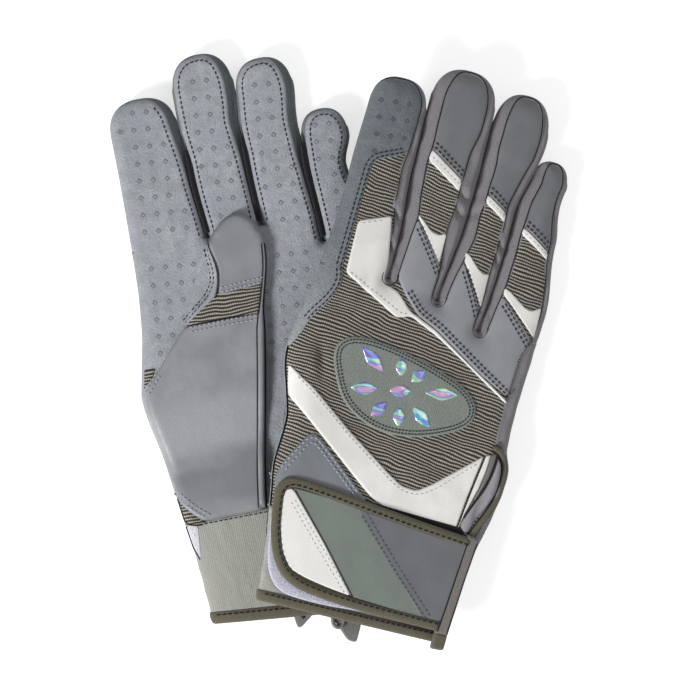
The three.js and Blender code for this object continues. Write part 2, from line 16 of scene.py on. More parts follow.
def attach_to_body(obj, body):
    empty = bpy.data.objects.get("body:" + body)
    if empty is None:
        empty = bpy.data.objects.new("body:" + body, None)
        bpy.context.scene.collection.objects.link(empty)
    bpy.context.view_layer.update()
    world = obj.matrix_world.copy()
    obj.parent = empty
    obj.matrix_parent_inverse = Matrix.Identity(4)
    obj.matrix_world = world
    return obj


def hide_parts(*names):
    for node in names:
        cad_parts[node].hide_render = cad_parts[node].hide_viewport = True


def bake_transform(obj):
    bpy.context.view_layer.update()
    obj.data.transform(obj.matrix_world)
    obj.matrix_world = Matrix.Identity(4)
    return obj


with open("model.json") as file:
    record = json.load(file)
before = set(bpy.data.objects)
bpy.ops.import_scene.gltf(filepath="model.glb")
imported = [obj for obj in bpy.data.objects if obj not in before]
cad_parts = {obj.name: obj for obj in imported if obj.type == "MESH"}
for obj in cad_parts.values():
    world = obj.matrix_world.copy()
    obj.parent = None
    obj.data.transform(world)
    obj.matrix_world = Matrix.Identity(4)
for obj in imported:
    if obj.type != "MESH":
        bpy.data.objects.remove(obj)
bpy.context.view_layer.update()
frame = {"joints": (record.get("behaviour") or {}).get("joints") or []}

# Driving sizes, the same as the part's
HAND_LENGTH = 245.5
PALM_WIDTH = 104.0
ROOT_Y = 148.0
CUFF_TOP = 43.0
CUFF_HEM = 4.0
FINGER_GAP = 0.9
TIP_BLUNTNESS = 2.4
PALM_FACE = 5.6
CUFF_PALM_FACE = 5.5
CUFF_BACK_FACE = 2.7
STRAP_HIGH = 6.0
RIGHT_PLACE = Vector((3.0, -123.84, 18.8))
RIGHT_TURN = (math.radians(-2.5), math.radians(12.4), math.radians(-14.0))
LEFT_PLACE = Vector((-9.46, -112.66, 0.0))
LEFT_SPIN = math.radians(11.0)
THUMB_HINGE = Vector((-55.5, 75.0, -5.75))
METRE = 0.001

# Padding of the empty glove: a middle level with rounded shoulders above and below
MID_Z = -1.0
HAND_TOP = 4.7
FINGER_TOP = 5.5
CUFF_SHEET_TOP = 3.2
RISE_BY_STRAP = (50.0, 78.0)
BACK_ROUND = 10.0
PALM_ROUND = 4.6
MESH_STEP = 1.7
# Shares of a panel's rim width at which rings of points are laid, for its rounding
RIM_RINGS = (0.07, 0.28, 0.6, 1.0, 1.7)
EDGE_MARGIN = 0.3
# Depth over which whatever would sink into the floor is pressed flat on it
PRESS_DEPTH = 0.5

FINGERS = ("index", "middle", "ring", "little")
RIGHT = {
    "side": "right",
    "left": [(0, -0.394), (0.114, -0.414), (0.175, -0.437), (0.204, -0.447), (0.253, -0.464),
             (0.334, -0.457), (0.375, -0.481), (0.432, -0.519), (0.481, -0.519), (0.521, -0.5),
             (0.603, -0.469), (0.713, -0.442), (0.811, -0.438), (0.904, -0.426), (1, -0.423)],
    "right": [(0, 0.394), (0.114, 0.428), (0.175, 0.452), (0.204, 0.466), (0.244, 0.49), (0.293, 0.51),
              (0.334, 0.514), (0.371, 0.488), (0.448, 0.487), (0.53, 0.5), (0.603, 0.512)],
    "webs": (150, 146, 137.5),
    "thumb": 3.2,
    "root": (29.5, 22.7, 21.3, 25.4),
    "joint": (26.1, 28.2, 18.9, 20.4),
    "shoulder": (25, 28.4, 25, 15.8),
    "joint_y": (199, 200, 190, 181),
    "shoulder_y": (222, 229, 223, 206),
    "tip_y": (235.5, 245.5, 241.5, 216.5),
    "hem_drop": (0.0, 0.0),
}
LEFT = {
    "side": "left",
    "left": [(0, -0.442), (0.114, -0.462), (0.175, -0.481), (0.212, -0.49), (0.244, -0.5), (0.305, -0.519),
             (0.367, -0.548), (0.407, -0.558), (0.432, -0.548), (0.481, -0.524), (0.53, -0.503),
             (0.611, -0.486), (0.786, -0.476), (0.904, -0.476), (1, -0.471)],
    "right": [(0, 0.385), (0.175, 0.433), (0.244, 0.462), (0.326, 0.49), (0.448, 0.5), (0.53, 0.519),
              (0.603, 0.543)],
    "webs": (163, 164, 152),
    "thumb": 5.0,
    "root": (34, 22.1, 24.2, 23.5),
    "joint": (30.5, 23.7, 23.7, 16.5),
    "shoulder": (29, 26.2, 24.6, 20.2),
    "joint_y": (193, 196, 188, 183),
    "shoulder_y": (213, 225, 220, 196),
    "tip_y": (227.5, 241.5, 235, 208.5),
    "hem_drop": (4.2, 0.1),
}
DOT_PITCH = (6.05, 7.35)
DOT_TURN = math.radians(5.0)
# How far each finger's cap and pad stand in from its sides: towards the index side, towards the other
SEAMS = {"cap": ((0.0, 5.0), (4.6, 7.4), (4.4, 4.2), (3.8, 3.2)),
         "pad": ((0.0, 3.4), (0.5, 3.6), (0.5, 3.4), (1.7, 0.8))}
SEAM_AT_WEB = {"cap": 2.9, "pad": 0.9}
SEAM_AT_TIP = {"cap": 1.0, "pad": 0.7}
# Share of a seam's full inset that is left at a finger's shoulder, on its right side
SEAM_AT_SHOULDER = {"cap": (0.62, 0.6, 1.0, 1.0), "pad": (1.0, 1.0, 1.0, 1.0)}
SEAM_TAPER = {"cap": (5.0, 33.0), "pad": (8.0, 62.0)}
PAD_ROW = 2.2

# Folds in the back: place, direction, half width, half length, depth
BACK_FOLDS = (((-39, 109), math.radians(105), 1.9, 8.0, 1.5), ((-47, 98), math.radians(60), 1.8, 6.0, 0.9),
              ((26, 78), math.radians(28), 1.6, 11.0, 0.8), ((22, 84), math.radians(22), 1.6, 9.0, 0.6),
              ((-28, 142), math.radians(80), 2.0, 8.0, 0.8))

# Outlines on the back, measured on the right glove
INDEX_PATCH = [(-38, 171), (-24, 176.4), (-22.5, 168), (-20.4, 157), (-20.2, 150), (-19.6, 147.6),
               (-17, 146.8), (-13.4, 145.2), (-6.5, 138.6), (-2.6, 137.1), (6.7, 133.2), (21.3, 124.4),
               (44.3, 111.2), (44.1, 109.7), (21.7, 122.9), (7.2, 131), (-2.1, 134.9), (-5.5, 136.6),
               (-11.7, 134.4), (-38, 148)]
EMBLEM = [(-35.5, 112), (-34, 119.5), (-26, 123.5), (-10, 122.5), (8, 118.5), (26, 112.5), (33, 104),
          (30, 95.5), (16, 88.5), (2, 85), (-13, 86), (-27, 94)]
V_TRIM = [(-52.5, 104.5), (-46, 100.3), (-40, 97), (-20, 82.5), (0, 69.5), (7.5, 65.2), (14.5, 64.6),
          (20.5, 68.8), (40, 86), (37, 66), (35.5, 51), (20, 50), (4, 53.5), (-3, 56.5), (-10, 61.5),
          (-30, 76.5), (-49, 91), (-50.5, 96)]
V_TAIL = [(40.6, 86.2), (42.8, 87), (42.4, 80), (41.3, 73), (39.6, 66), (37.6, 58.6), (36.7, 53), (35.9, 53),
          (36.9, 63), (38.5, 73)]
V_TRIM_MARGIN = 0.2
V_LINE = [(40.2, 86), (38.1, 72.2), (35.8, 53)]
SIDE_PANEL = [(-46.5, 54), (-46, 60), (-43.5, 66.5), (-37, 78), (-34, 78), (-29, 74.5), (-10, 59), (-4, 54),
              (-2, 49), (-44, 49)]
WRAP_LOW = 111.5
WRAP_SEAM = [(-38.6, 151), (-38.4, 145), (-39.4, 139.5), (-42.6, 133.4), (-47.4, 126.6), (-49.2, 121.5),
             (-51, 117), (-53.4, 112.2)]
STRAP = [(-41.5, 55.2), (-38.5, 57.6), (-34, 58), (-20, 56.8), (0, 54.4), (20, 52.2), (42, 50.2), (40.3, 30),
         (38, 8.2), (20, 8.6), (5, 8.9), (-3, 9.3), (-15, 10.4), (-25, 12), (-32.4, 15.8), (-37.4, 22.6),
         (-41, 31.4), (-43, 38.8), (-44.2, 46.5), (-43.4, 52)]
STRAP_WHITE = [(-39.5, 49), (-38.6, 52.4), (-36, 53), (-18, 33.6), (-1.5, 14), (-12, 15.4), (-22, 17.2),
               (-29.5, 19.4), (-34.5, 26), (-38, 37)]
STRAP_GREEN = [(-36.6, 53.6), (-20, 53), (-7, 51.6), (12, 32), (31.5, 11.6), (14, 12.8), (-2, 14),
               (-18.6, 33.6)]
STRAP_GREY = [(-8.4, 51.6), (18, 49.6), (43, 47.2), (42, 30), (39.6, 11.2), (30.2, 11.6), (10.6, 32)]
# Painted shadow: a black sheet in the gap along the strap's upper edge, which widens towards the sewn end
STRAP_GAP_SHADOW = [(-8, 55.6), (8, 54.9), (24, 54.2), (36, 53.8), (39.6, 53), (39, 47), (24, 48), (10, 49),
             (-6, 51)]
STRAP_BOUND = [(42.6, 50.1)] + STRAP[5::-1] + STRAP[:8:-1] + [(37.6, 8.2)]
# The strap's outlines are drawn out from its sewn end, because the leaning glove shortens them in the view
STRAP_ROOT = 41.0
STRAP_STRETCH = 1.03
STRAP_EDGE = 4.0
END_TAPE = [(40.6, 51.8), (46.8, 50.4), (44.8, 32), (42.8, 6.5), (36.8, 6.5), (37.9, 18), (39.2, 33)]
END_INNER = [(41.6, 49.4), (40.1, 33), (38.7, 18), (37.6, 8)]
END_OUTER = [(45.6, 48.6), (43.9, 32), (42.7, 18), (41.8, 8)]
END_FOOT = [(42.8, 7.6), (42.4, 0.4), (36.6, 0.2), (36.8, 7.6)]
LOOP = [(-46, 43), (-45.4, 32), (-43, 23), (-39.3, 14.6), (-34.6, 9.8), (-28.3, 8), (-12, 7.6), (3, 8.8),
        (30, 8.8), (32, 43)]
LOOP_RETURN = [(-50.6, 43), (-44.4, 42.6), (-44.8, 36.7), (-46, 26), (-49, 33.4), (-50.4, 39)]
LOOP_EDGE = [(-50.7, 42.4), (-50.3, 38.6), (-49, 33.4), (-46.4, 27.4)]
HOOK = [(-37, 41), (-34, 30), (-28, 22), (-12, 18), (0, 17), (0, 41)]

# Outlines on the palm, measured on the left glove
THUMB_PANEL = [(-34, 127), (-40, 120.5), (-47, 112.5), (-52.5, 106.5), (-57.6, 100), (-57, 90), (-54.2, 75),
               (-52.9, 60), (-52.8, 57), (-49.6, 51.8), (-44.2, 45.9), (-41.2, 43.4), (-26, 43.4),
               (-14.5, 43.6), (-12, 60), (-8, 80), (-2.5, 108), (0.5, 127)]
THUMB_KNIT_LOW = 128.5


def smoothstep(value, low, high):
    part = np.clip((value - low) / (high - low), 0, 1)
    return part * part * (3 - 2 * part)


def lerp(low, high, part):
    return low + (high - low) * part


def dome(part):
    """Rise of a quarter round from 0 at its foot to 1 at its crown."""
    return np.sqrt(1 - (1 - part) ** 2)


def run_along(path):
    """Length of a path up to each of its points."""
    return np.concatenate([[0], np.cumsum(np.linalg.norm(np.diff(path, axis=0), axis=1))])


def from_rows(rows, place):
    """A value at a place, from rows of (place, value) joined by the same smooth curve as the part's edges."""
    places, values = np.array(rows, float).T
    last = len(rows) - 1
    before, after = np.maximum(np.arange(last + 1) - 1, 0), np.minimum(np.arange(last + 1) + 1, last)
    slopes = (values[after] - values[before]) / (places[after] - places[before])
    place = np.clip(np.asarray(place, float), places[0], places[-1])
    i = np.clip(np.searchsorted(places, place), 1, last)
    run = places[i] - places[i - 1]
    part = (place - places[i - 1]) / run
    value = lerp(values[i - 1], values[i], part * part * (3 - 2 * part))
    return value + part * (1 - part) ** 2 * run * slopes[i - 1] - part ** 2 * (1 - part) * run * slopes[i]


def distance(points, path, closed=False):
    """Shortest distance from each point to a path."""
    ends = np.vstack([path, path[:1]]) if closed else path
    start, step = ends[:-1], np.diff(ends, axis=0)
    square = np.maximum((step ** 2).sum(1), 1e-12)
    best = np.full(len(points), 1e9)
    for low in range(0, len(points), 2000):
        gap = points[low:low + 2000, None] - start[None]
        along = np.clip((gap * step).sum(2) / square, 0, 1)
        gap -= along[..., None] * step
        best[low:low + 2000] = np.sqrt((gap ** 2).sum(2).min(1))
    return best


def rim_distance(points, outline, flat):
    """Distance to the part of an outline that doesn't run along the flat paths."""
    after = np.roll(outline, -1, 0)
    keep = np.full(len(outline), True)
    for path in flat:
        keep &= distance((outline + after) / 2, path) > 0.2
    best = np.full(len(points), 1e3)
    for start, end in zip(outline[keep], after[keep]):
        best = np.minimum(best, distance(points, np.vstack([start, end])))
    return best


def inside(points, outline):
    """Whether each point lies in a closed outline."""
    x, y = points[:, 0, None], points[:, 1, None]
    ax, ay = outline.T
    bx, by = np.roll(outline, -1, 0).T
    crosses = (ay > y) != (by > y)
    meets = ax + (y - ay) * (bx - ax) / np.where(by == ay, 1e-9, by - ay)
    return (crosses & (x < meets)).sum(1) % 2 == 1


def spaced(path, step, closed=False):
    """A path redrawn with points at an even spacing near step, its corners kept."""
    path = np.asarray(path, float)
    ends = np.vstack([path, path[:1]]) if closed else path
    pieces = []
    for a, b in zip(ends[:-1], ends[1:]):
        count = max(1, int(round(np.linalg.norm(b - a) / step)))
        pieces.append(a + (b - a) * np.arange(count)[:, None] / count)
    if not closed:
        pieces.append(ends[-1:])
    return np.vstack(pieces)


def resampled(path, step):
    """An open path redrawn at an exactly even spacing."""
    path = np.asarray(path, float)
    run = run_along(path)
    marks = np.linspace(0, run[-1], max(2, int(round(run[-1] / step)) + 1))
    return np.column_stack([np.interp(marks, run, path[:, k]) for k in range(path.shape[1])])


def rounded(points, radius, step=1.2, closed=True):
    """Rounds an outline's corners with arcs that start up to radius away from them."""
    points = np.asarray(points, float)
    count = len(points)
    curve = []
    for i in range(count):
        corner = points[i]
        if not closed and i in (0, count - 1):
            curve.append(corner[None])
            continue
        sides = points[i - 1] - corner, points[(i + 1) % count] - corner
        start, end = (corner + side * min(0.5, radius / np.linalg.norm(side)) for side in sides)
        part = np.linspace(0, 1, 7)[:, None]
        curve.append((1 - part) ** 2 * start + 2 * part * (1 - part) * corner + part ** 2 * end)
    curve = np.vstack(curve)
    keep = np.linalg.norm(np.diff(curve, axis=0, prepend=curve[-1:] - 1), axis=1) > 0.05
    return spaced(curve[keep], step, closed)


def inward(path, closed=False):
    """Unit directions to the left of a path, which is into an outline that runs counterclockwise."""
    if closed:
        along = np.roll(path, -1, 0) - np.roll(path, 1, 0)
    else:
        along = np.gradient(path, axis=0)
    along /= np.maximum(np.linalg.norm(along, axis=1, keepdims=True), 1e-9)
    return np.c_[-along[:, 1], along[:, 0]]


def counterclockwise(outline):
    x, y = outline.T
    area = (x * np.roll(y, -1) - y * np.roll(x, -1)).sum()
    return outline if area > 0 else outline[::-1]


def shifted(path, gap):
    """A path moved sideways, to its left for a positive gap."""
    path = np.asarray(path, float)
    return path + inward(path) * gap


def fold_noise(points, size, seed):
    """Soft folds between -1 and 1, at a size in each direction."""
    sx, sy = size
    return np.array([noise.noise(Vector((x / sx, y / sy, seed))) for x, y in points])


def ring_faces(rings, count):
    """Faces between rings of points that follow each other."""
    return [(low + i, low + (i + 1) % count, low + count + (i + 1) % count, low + count + i)
            for low in range(0, (rings - 1) * count, count) for i in range(count)]


def caps_of(rings, count):
    """Faces that close the first and the last ring."""
    return [tuple(range(count))[::-1], tuple(range((rings - 1) * count, rings * count))]


class Glove:
    """One glove's shape, and what is placed on it."""

    def __init__(self, data, matrix, hand):
        self.__dict__.update(data)
        self.matrix = matrix
        self.hand = hand
        self.outline_path = self.silhouette()

    # The same edges as the part's
    def width(self, i, y):
        to_joint = smoothstep(y, ROOT_Y, self.joint_y[i])
        to_shoulder = smoothstep(y, self.joint_y[i], self.shoulder_y[i])
        return lerp(lerp(self.root[i], self.joint[i], to_joint), self.shoulder[i], to_shoulder)

    def finger_left(self, i, y):
        y = np.asarray(y, float)
        x = from_rows(self.left, y / HAND_LENGTH) * PALM_WIDTH
        return x + sum(self.width(k, y) + FINGER_GAP for k in range(i))

    def finger_right(self, i, y):
        return self.finger_left(i, y) + self.width(i, y)

    def hand_left(self, y):
        return self.finger_left(0, y)

    def hand_right(self, y):
        y = np.asarray(y, float)
        share = from_rows(self.right, y / HAND_LENGTH) - from_rows(self.right, ROOT_Y / HAND_LENGTH)
        low = self.finger_right(3, ROOT_Y) + share * PALM_WIDTH
        return np.where(y >= ROOT_Y, self.finger_right(3, y), low)

    def shares(self, points):
        x, y = np.asarray(points, float).T
        left, right = self.hand_left(y), self.hand_right(y)
        return np.c_[(x - left) / (right - left), y]

    def on_hand(self, points, measured_on, margin=EDGE_MARGIN):
        """Points measured on one glove, set at the same shares of this glove's width and inside its edges."""
        x, y = np.asarray(points, float).T
        if measured_on is not self:
            x = lerp(self.hand_left(y), self.hand_right(y), measured_on.shares(points)[:, 0])
        return np.c_[np.maximum(x, self.hand_left(y) + margin), y]

    def inset(self, i, side, y, seam):
        """How far a seam stands in from a finger's side at a height: narrow at the web, then wider."""
        full = SEAMS[seam][i][side]
        share = SEAM_AT_SHOULDER[seam][i] if side == 1 else 1.0
        full = full * lerp(1.0, share, smoothstep(y, self.joint_y[i], self.shoulder_y[i] - 4))
        web = self.web_heights(i)[side]
        start, end = SEAM_TAPER[seam]
        sway = np.sin(np.asarray(y) * 0.17 + 2.1 * i + 1.3 * side) + 0.6 * np.sin(np.asarray(y) * 0.39 + i)
        sway = sway * np.minimum(0.06 * full, 0.3) * smoothstep(y, web + start, web + end)
        sway = sway * smoothstep(self.shoulder_y[i] - np.asarray(y), 0, 12)
        return lerp(np.minimum(full, SEAM_AT_WEB[seam]), full, smoothstep(y, web + start, web + end)) + sway

    def seam_left(self, i, y, seam="cap"):
        return self.finger_left(i, y) + self.inset(i, 0, y, seam)

    def seam_right(self, i, y, seam="cap"):
        return self.finger_right(i, y) - self.inset(i, 1, y, seam)

    def tip(self, i, seam, count=26):
        """Points over a finger's blunt tip, with directions in and how far a seam stands in."""
        half = self.width(i, self.shoulder_y[i]) / 2
        centre = float(self.finger_left(i, self.shoulder_y[i])) + half
        angle = np.pi * (1 - np.arange(1, count) / count)
        power = 2 / TIP_BLUNTNESS
        across = np.sign(np.cos(angle)) * np.abs(np.cos(angle)) ** power
        along = np.sin(angle) ** power
        share = (across + 1) / 2
        left, right = SEAMS[seam][i]
        right = right * SEAM_AT_SHOULDER[seam][i]
        room = np.where(share < 0.5,
                        lerp(left, min(SEAM_AT_TIP[seam], left + right), smoothstep(share, 0, 0.42)),
                        lerp(right, SEAM_AT_TIP[seam], smoothstep(1 - share, 0, 0.42)))
        reach = self.tip_y[i] - self.shoulder_y[i]
        at = np.c_[centre + across * half, self.shoulder_y[i] + reach * along]
        into = np.c_[-np.cos(angle), -np.sin(angle)]
        return at, into, room

    def round_finger(self, i, low_left, low_right, seam="cap", step=1.5):
        """Round a finger's sides and tip: points, directions in, and a seam's insets."""
        top = self.shoulder_y[i]
        up = np.linspace(low_left, top, max(2, int((top - low_left) / step)))
        down = np.linspace(top, low_right, max(2, int((top - low_right) / step)))
        at, into, room = self.tip(i, seam)
        points = np.vstack([np.c_[self.finger_left(i, up), up], at,
                            np.c_[self.finger_right(i, down), down]])
        ways = np.vstack([np.tile((1.0, 0.0), (len(up), 1)), into, np.tile((-1.0, 0.0), (len(down), 1))])
        insets = np.concatenate([self.inset(i, 0, up, seam), room, self.inset(i, 1, down, seam)])
        return points, ways, insets

    def web_heights(self, i):
        """Heights where a finger's two sides begin."""
        left = self.webs[i - 1] if i > 0 else self.webs[0]
        right = self.webs[i] if i < 3 else self.webs[2]
        return left, right

    def silhouette(self):
        low = -12.0
        parts = []
        for i in range(4):
            left, right = self.web_heights(i)
            left = low if i == 0 else left
            right = low if i == 3 else right
            points, _, _ = self.round_finger(i, left, right)
            if i == 3:
                points[:, 0] = np.where(points[:, 1] < ROOT_Y, self.hand_right(points[:, 1]), points[:, 0])
                flip = np.argmax(points[:, 1])
                points[:flip, 0] = self.finger_left(3, points[:flip, 1])
            parts.append(points)
        return np.vstack(parts)

    def depth(self, points):
        return distance(points, self.outline_path)

    # Heights of the soft glove
    def top(self, points):
        y = points[:, 1]
        high = lerp(HAND_TOP, FINGER_TOP, smoothstep(y, 140, 190))
        high = lerp(CUFF_SHEET_TOP, high, smoothstep(y, *RISE_BY_STRAP))
        round_part = np.clip(self.depth(points) / BACK_ROUND, 0, 1)
        folds = 0.45 * fold_noise(points, (26, 14), 3.0) + 0.2 * fold_noise(points, (9, 6), 8.0)
        for (x, y), turn, across, along, depth in BACK_FOLDS:
            gap = points - (x, y)
            u = gap[:, 0] * math.cos(turn) + gap[:, 1] * math.sin(turn)
            v = gap[:, 1] * math.cos(turn) - gap[:, 0] * math.sin(turn)
            valley = np.exp(-(v / across) ** 2) - 0.6 * np.exp(-((v - 2.2 * across) / (1.3 * across)) ** 2)
            folds = folds - depth * valley * np.exp(-(u / along) ** 2)
        crown = dome(round_part)
        return MID_Z + (high - MID_Z) * crown + folds * crown * round_part

    def bottom(self, points):
        round_part = np.clip(self.depth(points) / PALM_ROUND, 0, 1)
        crown = dome(round_part)
        folds = 0.22 * fold_noise(points, (22, 17), 5.0) + 0.08 * fold_noise(points, (6, 6), 1.0)
        return MID_Z - (PALM_FACE + MID_Z - 0.2) * crown + folds * crown * round_part

    # Placing of pieces
    def place(self, name, points, faces, material, slot=None, part=None, nodes=(), uv=None):
        """A piece in the row frame, with plan coordinates in its UV map, 100 mm to a unit.

        part is the moving part it belongs to, and nodes are the solids it stands for.
        """
        world = np.array(self.matrix, float)
        points = np.asarray(points, float)
        placed = points @ world[:3, :3].T + world[:3, 3]
        low = np.minimum(placed[:, 2] / METRE, PRESS_DEPTH)
        placed[:, 2] += (PRESS_DEPTH * np.exp((low - PRESS_DEPTH) / PRESS_DEPTH) - low) * METRE
        mesh = bpy.data.meshes.new(f"{self.side}_{name}")
        mesh.from_pydata(placed.tolist(), [], [list(map(int, face)) for face in faces])
        flat = (points[:, :2] if uv is None else np.asarray(uv, float)) / 100
        layer = mesh.uv_layers.new(name="plan")
        loops = np.empty(len(mesh.loops), int)
        mesh.loops.foreach_get("vertex_index", loops)
        layer.data.foreach_set("uv", flat[loops].ravel())
        shape = bmesh.new()
        shape.from_mesh(mesh)
        bmesh.ops.remove_doubles(shape, verts=shape.verts, dist=2e-6)
        bmesh.ops.dissolve_degenerate(shape, edges=shape.edges, dist=1e-6)
        bmesh.ops.recalc_face_normals(shape, faces=shape.faces)
        for face in shape.faces:
            face.smooth = True
        shape.to_mesh(mesh)
        shape.free()
        mesh.materials.append(MATERIALS[material])
        obj = bpy.data.objects.new(f"{self.side}_{name}", mesh)
        bpy.context.collection.objects.link(obj)
        attach(self, obj, part, nodes)

    def panel(self, name, outline, height, material, slot=None, part=None, nodes=(), lift=0.8, drop=0.5,
              edge=0.9, up=1, flat=(), step=MESH_STEP):
        """A closed cloth or leather panel: an outline laid on a height, with rounded rims.

        up is 1 on the back and -1 on the palm. flat lists paths along which the rim isn't rounded.
        """
        outline = counterclockwise(np.asarray(outline, float))
        rings = [outline]
        ways = inward(outline, True)
        for share in RIM_RINGS:
            ring = outline + ways * edge * share
            ring = ring[distance(ring, outline, True) > edge * share * 0.9]
            rings.append(ring[inside(ring, outline)])
        low, high = outline.min(0), outline.max(0)
        grid = np.array([(x + (row % 2) * step / 2, y)
                         for row, y in enumerate(np.arange(low[1], high[1], step * 0.87))
                         for x in np.arange(low[0], high[0], step)])
        if len(grid):
            grid = grid[inside(grid, outline)]
            grid = grid[distance(grid, outline, True) > edge * RIM_RINGS[-1] + step * 0.45]
            rings.append(grid)
        points = np.vstack(rings)
        result = delaunay_2d_cdt([Vector(p) for p in points], [], [list(range(len(outline)))], 1, 1e-4)
        plan = np.array([tuple(v) for v in result[0]])
        faces = [list(face) for face in result[2]]
        surface = height(plan)
        away = rim_distance(plan, outline, flat)
        crown = dome(np.clip(away / edge, 0, 1))
        outer = surface + up * (-drop + (lift + drop) * crown)
        inner = surface - up * (drop + 0.02 * crown)
        count = len(plan)
        vertices = np.vstack([np.c_[plan, outer], np.c_[plan, inner]])
        edges = dict.fromkeys((a, b) for face in faces for a, b in zip(face, face[1:] + face[:1]))
        walls = [(a, b, b + count, a + count) for a, b in edges if (b, a) not in edges]
        back = [[v + count for v in reversed(face)] for face in faces]
        self.place(name, vertices, faces + back + walls, material, slot, part, nodes)

    def sweep(self, name, path, ways, sections, material, slot=None, part=None, nodes=()):
        """A closed strip along a path: sections[k] are (inset, level) points round its k-th section."""
        sections = np.asarray(sections, float)
        rows, count = sections.shape[:2]
        at = path[:, None] + ways[:, None] * sections[..., :1]
        points = np.concatenate([at, sections[..., 1:]], axis=2).reshape(-1, 3)
        uv = np.stack(np.broadcast_arrays(run_along(sections[0])[None], run_along(path)[:, None]), axis=2)
        self.place(name, points, ring_faces(rows, count) + caps_of(rows, count), material, slot, part, nodes,
                   uv.reshape(-1, 2))

    def tube(self, name, path, height, radius, material="piping_and_painted_shadow", slot=None, part=None, lift=0.0, up=1,
             squeeze=1.0, sides=8):
        """A thin cord laid along a path on a height."""
        path = np.asarray(path, float)
        level = height(path) + up * lift
        angle = 2 * np.pi * np.arange(sides) / sides
        sections = np.empty((len(path), sides, 2))
        sections[..., 0] = radius * np.cos(angle)
        sections[..., 1] = level[:, None] + radius * squeeze * np.sin(angle)
        self.sweep(name, path, inward(path), sections, material, slot, part)

    # Outlines and paths measured on one glove, set on this one with rounded corners
    def from_right(self, points, corner, spacing=1.4, closed=True, margin=EDGE_MARGIN):
        return rounded(self.on_hand(points, RIGHT_GLOVE, margin), corner, spacing, closed)

    def from_left(self, points, corner, spacing=1.4, closed=True):
        return rounded(self.on_hand(points, LEFT_GLOVE), corner, spacing, closed)

    def trim(self, name, points, corner, spacing, material, margin=EDGE_MARGIN, height=None, **how):
        """A panel measured on the right glove and laid on the back."""
        outline = self.from_right(points, corner, spacing, margin=margin)
        self.panel(name, outline, height or self.top, material, **{"drop": 0.35, **how})


# Stitches: each thread is a short bowed capsule sunk at both ends
STITCH_SHARES = np.array([-0.5, -0.38, 0.0, 0.38, 0.5])
STITCH_GIRTH = np.array([0.3, 0.85, 1.0, 0.85, 0.3])
STITCH_SINK = np.array([-1.1, -0.25, 0.1, -0.25, -1.1])
STITCH_SIDES = 6


def stitches(glove, name, rows, material, slot, part=None):
    """All the stitches of rows in one mesh. A row is (path, height, lift, pitch, length, radius, up)."""
    points, faces = [], []
    rings = len(STITCH_SHARES)
    template = ring_faces(rings, STITCH_SIDES) + caps_of(rings, STITCH_SIDES)
    total = 0
    for path, height, lift, pitch, length, radius, up in rows:
        marks = resampled(path, pitch)
        centres, along = (marks[1:] + marks[:-1]) / 2, np.diff(marks, axis=0)
        if len(centres) < 1:
            continue
        along /= np.maximum(np.linalg.norm(along, axis=1, keepdims=True), 1e-9)
        ends = np.vstack([centres - along * length / 2, centres + along * length / 2])
        levels = height(ends)
        count = len(centres)
        rise = levels[count:] - levels[:count]
        tangent = np.c_[along * length, rise]
        tangent /= np.linalg.norm(tangent, axis=1, keepdims=True)
        middle = np.c_[centres, (levels[count:] + levels[:count]) / 2 + up * lift]
        side = np.c_[-along[:, 1], along[:, 0], np.zeros(count)]
        above = np.cross(tangent, side)
        above *= np.sign(above[:, 2:] * up)
        angle = 2 * np.pi * np.arange(STITCH_SIDES) / STITCH_SIDES
        for c in range(count):
            for share, girth, sink in zip(STITCH_SHARES, STITCH_GIRTH, STITCH_SINK):
                core = middle[c] + tangent[c] * length * share + above[c] * radius * sink
                way = np.cos(angle)[:, None] * side[c] + np.sin(angle)[:, None] * above[c]
                points.append(core + radius * girth * way)
            faces += [tuple(v + total for v in face) for face in template]
            total += rings * STITCH_SIDES
    glove.place(name, np.vstack(points), faces, material, slot, part)


def row(path, height, lift=0.95, pitch=2.2, length=1.7, radius=0.34, up=1):
    return (np.asarray(path, float), height, lift, pitch, length, radius, up)


def double(path, height, gap=1.7, **how):
    """Two rows of stitches beside each other."""
    return [row(shifted(path, gap / 2), height, **how), row(shifted(path, -gap / 2), height, **how)]


# Materials
RIB_PITCH = 1.44
LOOP_PITCH = 0.95
LOW_TONE_SPAN = (112.0, 168.0)
# Painted shade and painted highlight on the thumb's base panel: a darker band along the lower side of its
# hollow and a lighter band above it, each as tone, then the heights where it starts, is full, eases and ends
THUMB_SHADE_BANDS = ((0x84868a, 50.5, 56.5, 64.5, 70.0), (0xa0a2a6, 71.0, 80.0, 93.0, 103.0))


def linear(code):
    """A display colour written as a hex number, as linear light."""
    parts = [((code >> shift) & 255) / 255 for shift in (16, 8, 0)]
    return tuple(p / 12.92 if p <= 0.04045 else ((p + 0.055) / 1.055) ** 2.4 for p in parts) + (1.0,)


